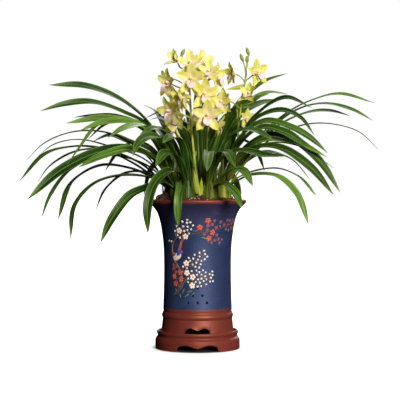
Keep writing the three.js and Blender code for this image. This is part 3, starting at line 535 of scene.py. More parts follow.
# Painted slips: clay coloured with stains, laid thick and unglazed, so they are chalky and each
# touch of the brush is a little lighter or darker than the next.
CHALK_MM = 3  # real grains are 0.2 mm, drawn as coarse as shows
for name, shape in painting.items():
    darker, lighter = PAINTS[name]
    paint, tree, shader = new_finish("painted_slip_" + name, Roughness=0.6, IOR=1.5)
    place = add(tree, "ShaderNodeTexCoord", out="Object")
    touch = add(tree, "ShaderNodeAttribute", out="Fac", attribute_name="tint")
    chalk = add(tree, "ShaderNodeTexNoise", {
        "Vector": place, "Scale": 1 / (CHALK_MM * MM), "Detail": 3.0}, "Fac")
    uneven = add(tree, "ShaderNodeMath", (touch, chalk), operation="MULTIPLY")
    shade = add(tree, "ShaderNodeMix", {0: uneven, 6: darker, 7: lighter}, 2, data_type="RGBA")
    bump = add(tree, "ShaderNodeBump", {"Height": chalk, "Strength": 0.2, "Distance": 0.4 * MM})
    tree.links.new(shade, shader.inputs["Base Color"])
    tree.links.new(bump, shader.inputs["Normal"])
    made = shape.piece("painted_" + name, paint, sharp=60)
    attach(made, "root")

# The bark: chips of fir bark heaped over the rim at the left and the back. It is tipped in round the
# roots and pressed down, and the bulbs and the flower stems stand in it.
HEAP_EDGE_RADIUS, HEAP_EDGE_HEIGHT = 97, 326
HEAP_RISE, HEAP_SLANT, HEAP_HIGH_SIDE = 17, 10, 150  # the last is a turn in degrees
HEAP_ABOVE = 350  # points of the profile above this are laid on the heap
HEAP_ROUGH, HEAP_ROUGH_MM, HEAP_SETTLED = 2.0, 9, 1.5
HEAP_PROFILE = [(0, 68.3), (68.3, 68.3), (69.1, 100), (67.6, 190), (71.7, 260), (81.7, 302),
                (89.7, 315), (HEAP_EDGE_RADIUS, HEAP_EDGE_HEIGHT)]
HEAP_PROFILE += [(r, 400) for r in range(95, 0, -3)] + [(0, 400)]
HEAP_FACETS = 120
CHIPS, CHIP_REACH, CHIP_SIZES, CHIP_FLAT = 420, 93, (3.5, 8.5), 0.45
GOLDEN_TURN, FULL_TURN = 2.39996, 6.28  # radians
BARK_DARK, BARK_LIT, BARK_RED = "#1d130d", "#4c3524", "#38211a"


def heap_height(x, y):
    """The heap stands highest at the left of the back and falls away to the rim."""
    out = min(math.hypot(x, y) / HEAP_EDGE_RADIUS, 1)
    lift = HEAP_RISE + HEAP_SLANT * math.cos(math.atan2(y, x) - math.radians(HEAP_HIGH_SIDE)) * out
    return HEAP_EDGE_HEIGHT + lift * (1 - out**5)


def heaped(x, y, z):
    """Lays the profile's upper points on the heap, a little rough and just below the chips."""
    if z > HEAP_ABOVE:
        rough = noise.noise(Vector((x, y, 0)) / HEAP_ROUGH_MM) * HEAP_ROUGH
        z = heap_height(x, y) + rough - HEAP_SETTLED
    return Vector((x, y, z))


random_bark = random.Random(5)
bark_shape = turned(HEAP_PROFILE, HEAP_FACETS, heaped)
CUBE = [Vector((x, y, z)) for x in (-1, 1) for y in (-1, 1) for z in (-1, 1)]
CUBE_FACES = [(0, 1, 3, 2), (4, 6, 7, 5), (0, 4, 5, 1), (2, 3, 7, 6), (0, 2, 6, 4), (1, 5, 7, 3)]
HEAP_TINT = 0.3  # between a dark chip and a red one


def chunk(shape, middle, size, flat, tint):
    """One rough chip: a block with its corners pulled about."""
    spin = [random_bark.uniform(-0.5, 0.5), random_bark.uniform(-0.5, 0.5),
            random_bark.uniform(0, FULL_TURN)]
    first = len(shape.points)
    for corner in CUBE:
        pulled = Vector((corner.x * size * random_bark.uniform(0.6, 1.1),
                         corner.y * size * 0.7 * random_bark.uniform(0.6, 1.1),
                         corner.z * size * flat * random_bark.uniform(0.6, 1.1)))
        for axis, angle in zip("XYZ", spin):
            pulled.rotate(Matrix.Rotation(angle, 3, axis))
        shape.points.append(Vector(middle) + pulled)
    shape.faces += [tuple(first + i for i in face) for face in CUBE_FACES]
    kept = shape.values.setdefault("tint", [])
    kept.extend([HEAP_TINT] * (first - len(kept)) + [tint] * len(CUBE))


for i in range(CHIPS):
    radius = CHIP_REACH * math.sqrt((i + 0.5) / CHIPS)
    turn = i * GOLDEN_TURN
    x, y = radius * math.cos(turn), radius * math.sin(turn)
    size = random_bark.uniform(*CHIP_SIZES)
    chunk(bark_shape, (x, y, heap_height(x, y) + random_bark.uniform(-1.5, 2.0)), size, CHIP_FLAT,
          random_bark.random())

# Fir bark: corky plates in brown and near-black, dull and rough, so it is the darkest thing here.
CORK_MM = 9
fir_bark, tree, shader = new_finish("fir_bark", Roughness=0.9, IOR=1.45)
place = add(tree, "ShaderNodeTexCoord", out="Object")
chip = add(tree, "ShaderNodeAttribute", out="Fac", attribute_name="tint")
cork = add(tree, "ShaderNodeTexNoise", {
    "Vector": place, "Scale": 1 / (CORK_MM * MM), "Detail": 8.0, "Roughness": 0.7}, "Fac")
brown = BARK_DARK
for share, shade in ((chip, BARK_RED), (cork, BARK_LIT)):
    brown = add(tree, "ShaderNodeMix", {0: share, 6: brown, 7: shade}, 2, data_type="RGBA")
bump = add(tree, "ShaderNodeBump", {"Height": cork, "Strength": 0.8, "Distance": 2 * MM})
tree.links.new(brown, shader.inputs["Base Color"])
tree.links.new(bump, shader.inputs["Normal"])
bark = bark_shape.piece("bark_mix", fir_bark, sharp=30)
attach(bark, "root")
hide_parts("potting_mix")

# The perlite: crumbs of puffed volcanic glass, 2 to 5 mm across, mixed into the bark. They work
# their way up as the plant is watered and lie loose on the chips.
CRUMBS, CRUMB_REACH, CRUMB_SIZES, CRUMB_FLAT = 110, 92, (1.0, 2.3), 0.9
PERLITE_GREY, PERLITE_WHITE = "#a79f8c", "#cdc6b4"
crumbs = Shape()
for i in range(CRUMBS):
    radius = CRUMB_REACH * math.sqrt(random_bark.random())
    turn = random_bark.uniform(0, FULL_TURN)
    x, y = radius * math.cos(turn), radius * math.sin(turn)
    chunk(crumbs, (x, y, heap_height(x, y) + random_bark.uniform(1.0, 3.5)),
          random_bark.uniform(*CRUMB_SIZES), CRUMB_FLAT, random_bark.random())

# Perlite: chalky, dull and full of fine holes, so it is white with grey pits and never shines.
PIT_MM = 1.5  # real pits are 0.3 mm, drawn as coarse as shows
perlite, tree, shader = new_finish("perlite", Roughness=0.95)
place = add(tree, "ShaderNodeTexCoord", out="Object")
pits = add(tree, "ShaderNodeTexNoise", {
    "Vector": place, "Scale": 1 / (PIT_MM * MM), "Detail": 3.0}, "Fac")
shade = add(tree, "ShaderNodeMix", {0: pits, 6: PERLITE_GREY, 7: PERLITE_WHITE}, 2, data_type="RGBA")
bump = add(tree, "ShaderNodeBump", {"Height": pits, "Strength": 0.6, "Distance": 0.8 * MM})
tree.links.new(shade, shader.inputs["Base Color"])
tree.links.new(bump, shader.inputs["Normal"])
perlite_crumbs = crumbs.piece("perlite_crumbs", perlite, sharp=40)
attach(perlite_crumbs, "root")

# The root fibres: dead root hairs and shreds of bark that lie across the chips, dry and tan. Real
# ones are 0.3 mm thick, drawn 0.8 mm thick so that they show.
FIBRES, FIBRE_REACH, FIBRE_LENGTHS, FIBRE_RADII = 90, 88, (8, 20), [(0, 0.4), (1, 0.25)]
FIBRE_DARK, FIBRE_TAN = "#3e2e1f", "#6e5438"


def round_stem(shape, points, radii, sides, steps, **values):
    """A round stem along the smooth curve through its points."""
    line = smooth_line(points, steps)
    side = line[0][1].orthogonal().normalized()
    rings, alongs = [], []
    for i, (middle, ahead) in enumerate(line):
        side = (side - ahead * side.dot(ahead)).normalized()
        other = ahead.cross(side)
        radius = eased(radii, i / steps)
        rings.append([middle + (side * math.cos(2 * math.pi * k / sides)
                                + other * math.sin(2 * math.pi * k / sides)) * radius
                      for k in range(sides)])
        alongs.append([i / steps] * sides)
    shape.skin(rings, along=alongs, **values)


fibres = Shape()
for i in range(FIBRES):
    radius = FIBRE_REACH * math.sqrt(random_bark.random())
    turn = random_bark.uniform(0, FULL_TURN)
    x, y = radius * math.cos(turn), radius * math.sin(turn)
    heading, length = random_bark.uniform(0, FULL_TURN), random_bark.uniform(*FIBRE_LENGTHS)
    course = []
    for t in (0, 0.5, 1):
        a = heading + t * random_bark.uniform(-1, 1)
        px, py = x + length * t * math.cos(a), y + length * t * math.sin(a)
        if math.hypot(px, py) > CRUMB_REACH:
            px, py = px * 0.8, py * 0.8
        course.append((px, py, heap_height(px, py) + random_bark.uniform(1.5, 4.5)))
    round_stem(fibres, course, FIBRE_RADII, 4, 6)

# Dry root: papery and tan, patchy along its length and without any shine.
DRY_PATCH_MM = 12
fibre, tree, shader = new_finish("dry_root_fibre", Roughness=0.8)
place = add(tree, "ShaderNodeTexCoord", out="Object")
patches = add(tree, "ShaderNodeTexNoise", {
    "Vector": place, "Scale": 1 / (DRY_PATCH_MM * MM), "Detail": 2.0}, "Fac")
shade = add(tree, "ShaderNodeMix", {0: patches, 6: FIBRE_DARK, 7: FIBRE_TAN}, 2, data_type="RGBA")
tree.links.new(shade, shader.inputs["Base Color"])
root_fibres = fibres.piece("root_fibres", fibre)
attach(root_fibres, "root")

# The leafy growths: each is a pseudobulb wrapped in leaf bases and old sheaths, with its own fan
# of strap leaves that arch over and hang. A leaf is folded along its midrib where it leaves the
# bulb, opens to a shallow trough and narrows to a point.
LEAF_ROOT, LEAF_ROOT_RADIUS, LEAF_ROOT_SPREAD = 350, 7, 17
LEAF_THICK, LEAF_HALF_LEAST = 0.9, 0.25
LEAF_FACETS = 12  # across each face of a blade
STATION_MM = 8  # between the sections along a leaf
LEAF_WAVE, LEAF_SWAY = 0.07, 5  # as a share of its half width, and in degrees
NARROW_LEAF = 19  # a wider leaf is folded no deeper than one of this width
BULB_PROFILE = [(312, 8), (316, 11.5), (324, 14), (334, 15), (345, 14.5), (356, 13.2), (364, 10.5),
                (370, 8), (374, 3)]
BULB_FACETS, BULB_RIBS, BULB_RIB = 24, 5, 0.05
SHEATHS, SHEATH_TURN, SHEATH_BOTTOM, SHEATH_STEPS = 14, 137.5, 314, 16
SHEATH_HALF_THICK = 0.4
SHEATH_AS_LEAF = 500  # a sheath has the colours of the foot of a leaf as long as this
# How tall a sheath is, how far its tip stands off, and half the angle that it wraps, in degrees
SHEATH_HEIGHTS, SHEATH_LEANS, SHEATH_WRAPS = (50, 130), (1, 12), (9, 30)
SHEATH_ROUND_BULB = [(0, 12), (12, 14.8), (26, 15.4), (45, 13), (62, 9.5), (130, 9)]
# The light green serves the paler midrib, the painted light on some leaves and the painted highlight
# along their edges
LEAF_DEEP, LEAF_MID, LEAF_PALE_AND_LIT, LEAF_TIP = "#030c02", "#0b2304", "#7cab3c", "#86a02a"
LEAF_STREAK, LEAF_COOL, LEAF_UNDER = "#305f0b", "#061c0a", "#2c4e12"
LEAF_SHINE, FOOT_GREEN, FOOT_YELLOW = "#e0f2d0", "#6c7c1a", "#ded750"
# Growths: where each bulb stands, how pale its foot is, and its leaves: heading in degrees, width,
# roll at root and tip, course as (reach, height), and how much painted light makes the leaf paler
GROWTHS = {
    "left": (-60, 8, 0.1, [
        (187, 22, (-14, -64), [(47, 497), (119, 559), (195, 588), (273, 589)], 0.15),
        (194, 19, (-16, -64), [(44, 490), (110, 527), (180, 550), (238, 546), (295, 529)], 0.1),
        (199, 19, (-35, -60), [(54, 487), (110, 509), (165, 514), (241, 502)], 0.7),
        (176, 19, (-20, -32), [(43, 438), (97, 463), (138, 478), (177, 465)], 0.2),
        (180, 13, (0, 0), [(58, 434), (133, 480), (216, 486), (284, 461), (325, 423)], 0.1),
        (183, 18, (-2, -61), [(70, 414), (160, 447), (216, 452), (283, 434), (339, 376)], 0.2),
        (172, 14, (0, 5), [(82, 411), (163, 446), (221, 441), (280, 409), (308, 375)], 0.1),
        (188, 18, (-6, -75), [(41, 380), (95, 403), (160, 408), (222, 371), (254, 288)], 0.2),
    ]),
    "left_front": (-46, -36, 0.15, [
        (207, 18, (-30, -55), [(66, 470), (114, 502), (173, 503), (231, 483)], 0.8),
        (224, 24, (-5, -20), [(56, 465), (92, 493), (146, 490), (199, 467)], 0.9),
        (204, 25, (-32, -52), [(52, 422), (104, 445), (181, 438), (271, 397), (344, 335)], 0.0),
        (212, 21, (-32, -52), [(61, 421), (119, 443), (192, 427), (242, 405)], 0.45),
        (194, 13, (-2, -61), [(72, 411), (162, 430), (239, 397), (282, 343), (302, 291)], 0.3),
        (198, 16, (-4, -72), [(55, 380), (128, 386), (186, 369), (231, 321), (241, 248)], 0.1),
        (218, 21, (-28, -45), [(41, 372), (73, 362), (127, 343), (174, 294), (203, 244)], 0.1),
        (206, 10, (-20, -32), [(65, 476), (141, 506), (190, 494), (229, 448), (258, 410)], 0.9),
    ]),
    "front": (-22, -60, 0.05, [
        (236, 22, (-15, -25), [(25, 386), (67, 396), (122, 371), (147, 325), (147, 264)], 0.15),
        (228, 25, (-20, -32), [(37, 421), (78, 464), (119, 471), (155, 454), (170, 428)], 0.3),
        (246, 22, (-15, -25), [(12, 411), (36, 454), (80, 471), (128, 455)], 0.2),
        (254, 18, (0, 0), [(14, 362), (42, 366), (62, 347), (70, 320), (71, 279)], 0.7),
        (214, 24, (-20, -30), [(20, 425), (44, 470), (84, 490), (122, 476)], 0.3),
        (240, 24, (-15, -25), [(24, 400), (58, 430), (98, 434), (132, 406)], 0.3),
    ]),
    "right_front": (30, -54, 0.25, [
        (-46, 20, (22, 34), [(12, 395), (46, 430), (104, 439), (163, 429), (228, 427)], 0.1),
        (-58, 20, (12, 22), [(20, 362), (50, 368), (76, 360), (103, 343), (120, 318)], 0.5),
        (-40, 20, (22, 34), [(31, 382), (65, 399), (92, 396), (116, 365)], 0.5),
        (-93, 22, (-8, -15), [(36, 408), (86, 437), (140, 428), (195, 395)], 0.3),
        (-33, 22, (20, 30), [(22, 430), (54, 474), (104, 486), (160, 462)], 0.2),
        (-70, 20, (10, 20), [(22, 400), (56, 432), (100, 436), (146, 404)], 0.2),
    ]),
    "right": (58, -18, 0.8, [
        (-14, 17, (28, 42), [(38, 460), (76, 520), (140, 559), (199, 536)], 0.0),
        (-4, 11, (0, 0), [(82, 449), (160, 494), (226, 503), (299, 485), (343, 446)], 0.3),
        (-9, 17, (30, 45), [(37, 456), (73, 511), (127, 532), (171, 516), (203, 476)], 0.0),
        (-16, 19, (34, 50), [(38, 467), (95, 506), (152, 494), (196, 470), (236, 436)], 0.35),
        (-26, 19, (34, 50), [(41, 453), (94, 492), (148, 482), (183, 462), (220, 440)], 0.2),
        (-21, 16, (30, 45), [(51, 440), (109, 466), (178, 456), (239, 427)], 0.9),
        (-19, 22, (34, 50), [(39, 433), (103, 474), (165, 463), (221, 417), (266, 351)], 0.1),
        (-29, 20, (34, 50), [(32, 411), (81, 446), (140, 447), (213, 404), (267, 345)], 0.2),
        (-24, 17, (14, 62), [(30, 372), (66, 387), (128, 384), (174, 347), (202, 278)], 1.0),
        (-7, 11, (0, 56), [(30, 380), (75, 398), (126, 402), (171, 382), (210, 338)], 1.0),
    ]),
    "right_back": (52, 26, 0.7, [
        (2, 13, (4, 62), [(79, 464), (136, 518), (202, 556), (273, 573), (351, 553)], 0.8),
        (9, 16, (6, 60), [(92, 469), (174, 535), (232, 552), (304, 541), (358, 515)], 0.6),
        (15, 14, (6, 58), [(82, 446), (147, 506), (216, 534), (265, 538), (315, 527)], 0.5),
        (17, 12, (0, 10), [(59, 435), (120, 462), (194, 454), (244, 426), (279, 405)], 0.3),
        (28, 17, (12, 22), [(50, 405), (120, 440), (190, 425), (240, 380)], 0.3),
        (40, 22, (12, 22), [(20, 430), (48, 490), (88, 515), (130, 508)], 0.2),
    ]),
    "back_right": (24, 56, 0.3, [
        (14, 18, (22, 34), [(33, 481), (76, 555), (129, 602), (191, 626)], 0.6),
        (24, 19, (24, 36), [(46, 481), (95, 545), (147, 580), (207, 580)], 0.7),
        (34, 22, (22, 34), [(34, 447), (82, 522), (143, 556), (208, 569)], 0.4),
        (19, 22, (24, 36), [(22, 445), (52, 510), (100, 560), (150, 578)], 0.3),
        (74, 17, (0, 10), [(25, 450), (60, 530), (100, 575), (137, 593)], 0.3),
        (52, 19, (0, 15), [(50, 430), (115, 470), (180, 455), (225, 400)], 0.4),
        (64, 18, (0, 10), [(40, 385), (95, 400), (150, 375), (185, 315)], 0.5),
        (88, 24, (0, 10), [(18, 440), (44, 505), (76, 538), (112, 540)], 0.1),
        (44, 24, (12, 22), [(16, 425), (36, 480), (64, 518), (98, 530)], 0.2),
    ]),
    "back": (-16, 60, 0.3, [
        (128, 18, (0, 0), [(59, 447), (98, 495), (134, 537), (183, 558)], 0.3),
        (112, 17, (0, 0), [(50, 471), (100, 550), (150, 590), (196, 600)], 0.4),
        (94, 18, (0, 10), [(35, 460), (80, 510), (140, 520), (190, 480)], 0.3),
        (104, 19, (0, -10), [(45, 390), (100, 405), (150, 375), (185, 310)], 0.5),
        (121, 17, (0, -10), [(55, 405), (125, 430), (190, 400), (225, 340)], 0.3),
        (142, 24, (0, -10), [(20, 435), (48, 495), (84, 522), (120, 520)], 0.1),
        (80, 24, (0, 10), [(16, 430), (38, 490), (66, 525), (100, 535)], 0.1),
    ]),
    "left_back": (-48, 44, 0.2, [
        (162, 17, (12, 22), [(64, 486), (143, 525), (213, 527), (254, 524)], 0.3),
        (150, 14, (0, 10), [(71, 486), (132, 518), (197, 507), (247, 473)], 0.2),
        (168, 12, (0, 0), [(74, 423), (158, 454), (235, 471), (293, 460), (332, 434)], 0.1),
        (139, 19, (0, -10), [(50, 420), (110, 462), (170, 455), (230, 400)], 0.4),
        (155, 17, (0, -10), [(55, 385), (120, 395), (180, 360), (215, 300)], 0.3),
        (126, 24, (0, -10), [(22, 430), (54, 482), (94, 500), (134, 486)], 0.1),
    ]),
    "middle": (4, 8, 0.1, [
        (76, 18, (0, 10), [(14, 440), (34, 520), (66, 575)], 0.1),
        (98, 18, (0, -10), [(12, 450), (30, 530), (58, 590)], 0.2),
        (58, 17, (12, 22), [(12, 430), (32, 500), (62, 550)], 0.1),
        (122, 18, (-15, -25), [(12, 430), (32, 500), (62, 545)], 0.1),
        (20, 22, (15, 30), [(20, 430), (50, 500), (90, 540), (130, 545)], 0.1),
        (160, 22, (-15, -30), [(20, 430), (50, 500), (90, 530), (130, 520)], 0.1),
        (136, 23, (-15, -25), [(12, 420), (30, 470), (54, 505), (84, 512)], 0.1),
        (42, 22, (12, 22), [(12, 420), (30, 472), (56, 505), (84, 512)], 0.1),
    ]),
}


def eased_step(value):
    """Goes from 0 to 1 as the value does, with a soft start and end."""
    value = min(max(value, 0), 1)
    return value * value * (3 - 2 * value)


def leaf_width(u):
    """A leaf widens over its first third and narrows to a point over its last."""
    return (0.4 + 0.6 * eased_step(u / 0.35)) * (1 - max(0, (u - 0.68) / 0.32) ** 2.4)


def blade_section(middle, across, face, half, fold, thick, wave=0.0):
    """One closed section of a thin blade, its upper face first, and how far across each point is."""
    upper, lower, sides = [], [], []
    for k in range(LEAF_FACETS + 1):
        c = 2 * k / LEAF_FACETS - 1
        rise = fold * half * abs(c) ** 1.15 + wave * half * c
        at = middle + across * (c * half) + face * rise
        body = thick * (1 - 0.75 * c * c) / 2
        upper.append(at + face * body)
        lower.append(at - face * body)
        sides.append(c)
    return upper + lower[::-1], sides + sides[::-1]


def add_leaf(shape, x, y, leaf, spread, foot, draw):
    """One leaf of a growth that stands at x and y, rooted so far to the side of its bulb."""
    heading, width, roll, course, pale = leaf
    turn = math.radians(heading)
    out = Vector((math.cos(turn), math.sin(turn), 0))
    side = Vector((-out.y, out.x, 0))
    climb = math.atan2(course[0][1] - LEAF_ROOT, course[0][0])
    root = (LEAF_ROOT_RADIUS * math.cos(climb), LEAF_ROOT + LEAF_ROOT_RADIUS * math.sin(climb))
    points = [Vector((x + out.x * r, y + out.y * r, h)) for r, h in [root] + course]
    points[0] += side * spread
    length = sum((b - a).length for a, b in zip(points, points[1:]))
    steps = round(length / STATION_MM)
    phase, ripples = draw.uniform(0, FULL_TURN), draw.uniform(2.0, 3.5)
    sway = draw.uniform(-LEAF_SWAY, LEAF_SWAY)
    # A leaf that ends on edge twists towards its tip, and later still if it leaves its bulb flat
    late = 1 if -60 <= roll[1] <= 50 else 3 if abs(roll[0]) > 9 else 7
    rings, alongs, acrosses, unders = [], [], [], []
    for i, (middle, ahead) in enumerate(smooth_line(points, steps)):
        u = i / steps
        lift = ahead.cross(side).normalized()
        twist = eased_step(u) ** late
        angle = math.radians(roll[0] + (roll[1] - roll[0]) * twist + sway * math.sin(phase + 5 * u))
        across = side * math.cos(angle) + lift * math.sin(angle)
        face = lift * math.cos(angle) - side * math.sin(angle)
        half = max(width / 2 * leaf_width(u), LEAF_HALF_LEAST)
        fold = 0.85 - 0.35 * eased_step(u / 0.3) - 0.22 * eased_step((u - 0.4) / 0.4)
        fold *= min(1, NARROW_LEAF / width)
        wave = LEAF_WAVE * math.sin(phase + ripples * FULL_TURN * u) * eased_step(u / 0.3)
        ring, sides = blade_section(middle, across, face, half, fold, LEAF_THICK, wave)
        rings.append(ring)
        acrosses.append(sides)
        alongs.append([u] * len(ring))
        unders.append([0.0] * (LEAF_FACETS + 1) + [1.0] * (LEAF_FACETS + 1))
    shape.skin(rings, along=alongs, across=acrosses, under=unders, tint=draw.random(),
               pale=pale, foot=foot)


def add_sheath(shape, x, y, heading, height, lean, foot, draw):
    """An old sheath: a short blade wrapped round one side of the bulb, standing off at its tip."""
    turn = math.radians(heading)
    out = Vector((math.cos(turn), math.sin(turn), 0))
    side = Vector((-out.y, out.x, 0))
    widest = draw.uniform(*SHEATH_WRAPS)
    rings, alongs, acrosses, unders = [], [], [], []
    for i in range(SHEATH_STEPS + 1):
        u = i / SHEATH_STEPS
        radius = eased(SHEATH_ROUND_BULB, height * u) + lean * 0.12
        away = radius + lean * u * u
        wrap = math.radians(widest) * (1 - 0.55 * u) * (1 - u**3) + 0.02
        inner, outer, sides = [], [], []
        for k in range(LEAF_FACETS + 1):
            c = 2 * k / LEAF_FACETS - 1
            spoke = out * math.cos(wrap * c) + side * math.sin(wrap * c)
            at = Vector((x, y, SHEATH_BOTTOM + height * u)) + spoke * radius + out * (away - radius)
            inner.append(at - spoke * SHEATH_HALF_THICK)
            outer.append(at + spoke * SHEATH_HALF_THICK)
            sides.append(c)
        rings.append(inner + outer[::-1])
        acrosses.append(sides + sides[::-1])
        alongs.append([height / SHEATH_AS_LEAF * u] * len(rings[-1]))
        unders.append([0.0] * len(rings[-1]))
    shape.skin(rings, along=alongs, across=acrosses, under=unders, tint=draw.random(),
               pale=draw.uniform(0.0, 0.15), foot=foot)


# Orchid leaf: tough and leathery, with a waxy skin that gives a broad soft shine. Deep green over
# pale yellow-green at the foot, a paler midrib and underside, and streaks that run its length.
# Painted light makes some leaves paler, a painted highlight runs along the edges, and painted
# shade darkens the lower part of each leaf, its bulb and its sheaths.
MOTTLE_MM = 30
VEINS = 5  # real veins are 0.8 mm apart, drawn about 4 mm apart so that they show
strap_leaf, tree, shader = new_finish("waxy_strap_leaf", Roughness=0.41, IOR=1.42,
                                      Specular_Tint=LEAF_SHINE)
place = add(tree, "ShaderNodeTexCoord", out="Object")
along, across, under, tint, pale, foot = (
    add(tree, "ShaderNodeAttribute", out="Fac", attribute_name=name)
    for name in ("along", "across", "under", "tint", "pale", "foot"))
mottle = add(tree, "ShaderNodeTexNoise", {
    "Vector": place, "Scale": 1 / (MOTTLE_MM * MM), "Detail": 4.0}, "Fac")
# Streaks: noise that is stretched along the leaf and different on each
lengthwise = add(tree, "ShaderNodeCombineXYZ", [
    add(tree, "ShaderNodeMath", pair, operation="MULTIPLY")
    for pair in ((across, 2.2), (along, 1.5), (tint, 40.0))])
streaks = add(tree, "ShaderNodeTexNoise", {"Vector": lengthwise, "Scale": 2.0, "Detail": 2.0}, "Fac")
streak = add(tree, "ShaderNodeMapRange", (streaks, 0.42, 0.68))
in_streak = add(tree, "ShaderNodeMapRange", (streak, 0.0, 1.0, 0.3, 0.85))
off_streak = add(tree, "ShaderNodeMapRange", (streak, 0.0, 1.0, 1.0, 0.5))
streaked = add(tree, "ShaderNodeMath", (streak, 0.65), operation="MULTIPLY")
cool = add(tree, "ShaderNodeMath", (tint, 0.5), operation="MULTIPLY")
# Painted light: each leaf's listed pale share, in streaks, mixes in the light green
pale_and_lit_share = add(tree, "ShaderNodeMath", (pale, in_streak), operation="MULTIPLY")
# Painted shade: low on each leaf, and on the bulbs and sheaths, the green is mixed towards deep green
shaded = add(tree, "ShaderNodeMapRange", (along, 0.12, 0.5, 0.6, 0.0))
off_middle = add(tree, "ShaderNodeMath", (across,), operation="ABSOLUTE")
midrib = add(tree, "ShaderNodeMapRange", (off_middle, 0.03, 0.12, 0.45, 0.0))
# Painted highlight: the leaf's edges are mixed towards the light green
painted_edge_highlight = add(tree, "ShaderNodeMapRange", (off_middle, 0.8, 1.0, 0.0, 0.5))
vein = add(tree, "ShaderNodeMath", (across, VEINS * math.pi), operation="MULTIPLY")
vein = add(tree, "ShaderNodeMath", (vein,), operation="COSINE")
veined = add(tree, "ShaderNodeMapRange", (vein, 0.3, 1.0, 0.0, 0.07))
tipped = add(tree, "ShaderNodeMapRange", (along, 0.9, 1.0, 0.0, 0.35))
footed = add(tree, "ShaderNodeMapRange", (along, 0.04, 0.28, 1.0, 0.0))
for share in (foot, off_streak):
    footed = add(tree, "ShaderNodeMath", (footed, share), operation="MULTIPLY")
foot_tone = add(tree, "ShaderNodeMix", {0: tint, 6: FOOT_GREEN, 7: FOOT_YELLOW}, 2, data_type="RGBA")
turned_under = add(tree, "ShaderNodeMath", (under, 0.35), operation="MULTIPLY")
green = LEAF_DEEP
for share, shade in (
        (mottle, LEAF_MID), (streaked, LEAF_STREAK), (cool, LEAF_COOL), (pale_and_lit_share, LEAF_PALE_AND_LIT),
        (shaded, LEAF_DEEP), (midrib, LEAF_PALE_AND_LIT), (painted_edge_highlight, LEAF_PALE_AND_LIT), (veined, LEAF_UNDER),
        (tipped, LEAF_TIP), (footed, foot_tone), (turned_under, LEAF_UNDER)):
    green = add(tree, "ShaderNodeMix", {0: share, 6: green, 7: shade}, 2, data_type="RGBA")
ridges = add(tree, "ShaderNodeMath", (vein, mottle), operation="ADD")
bump = add(tree, "ShaderNodeBump", {"Height": ridges, "Strength": 0.1, "Distance": 0.4 * MM})
tree.links.new(green, shader.inputs["Base Color"])
tree.links.new(bump, shader.inputs["Normal"])

for number, (name, (x, y, foot, leaves)) in enumerate(GROWTHS.items()):
    draw = random.Random(20 + number)
    growth = Shape()
    bulb_rings = []
    for z, radius in BULB_PROFILE:
        ring = []
        for k in range(BULB_FACETS):
            a = 2 * math.pi * k / BULB_FACETS
            ribbed = radius * (1 + BULB_RIB * math.cos(BULB_RIBS * a))
            ring.append(Vector((x + ribbed * math.cos(a), y + ribbed * math.sin(a), z)))
        bulb_rings.append(ring)
    growth.skin(bulb_rings, along=0.08, across=0.3, under=0.0, tint=0.5, pale=0.2, foot=foot)
    order = sorted(leaf[0] for leaf in leaves)
    for leaf in leaves:
        in_fan = order.index(leaf[0]) / max(1, len(order) - 1) - 0.5
        add_leaf(growth, x, y, leaf, in_fan * LEAF_ROOT_SPREAD, foot, draw)
    for k in range(SHEATHS):
        heading = leaves[0][0] + SHEATH_TURN * k + draw.uniform(-12, 12)
        add_sheath(growth, x, y, heading, draw.uniform(*SHEATH_HEIGHTS), draw.uniform(*SHEATH_LEANS),
                   foot, draw)
    made = growth.piece("leaves_" + name, strap_leaf, sharp=70)
    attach(made, "root")
    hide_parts("growth_" + name)

# The flower spikes: each is a firm round stem that comes up beside a bulb, wrapped in pointed
# bracts at its joints. It carries flower stalks one above the other and unopened buds at its top.
STEM_RADII = [(0, 3.4), (0.3, 3.0), (0.8, 2.2), (1, 1.6)]
STALK_RADII = [(0, 1.4), (0.5, 1.3), (0.8, 1.7), (1, 1.4)]
BUD_STALK_RADII = [(0, 1.5), (1, 1.3)]
BUD_OUTLINE = [(0, 0.3), (0.2, 0.75), (0.45, 1.0), (0.75, 0.78), (0.93, 0.35), (1, 0.04)]
BUD_RADIUS, BUD_FACETS, BUD_STEPS, BUD_SEAM = 4.0, 18, 14, 0.1
BRACT_STEPS, BRACT_FOLD, BRACT_THICK, STALK_BRACT_WIDTH = 10, 0.45, 0.8, 5
SEAT_GAP, BLOOM_BACK = 0.3, 0.6  # from a stalk's end to its bloom, and on to the bloom's middle
STALK_RISE, STALK_BEHIND = 16, 9  # how far a stalk starts below its bloom, and bends up behind it
STEM_LIT, STEM_GREEN, STEM_DARK, BUD_TIP = "#b9b93a", "#7f8f24", "#26140c", "#708a1e"
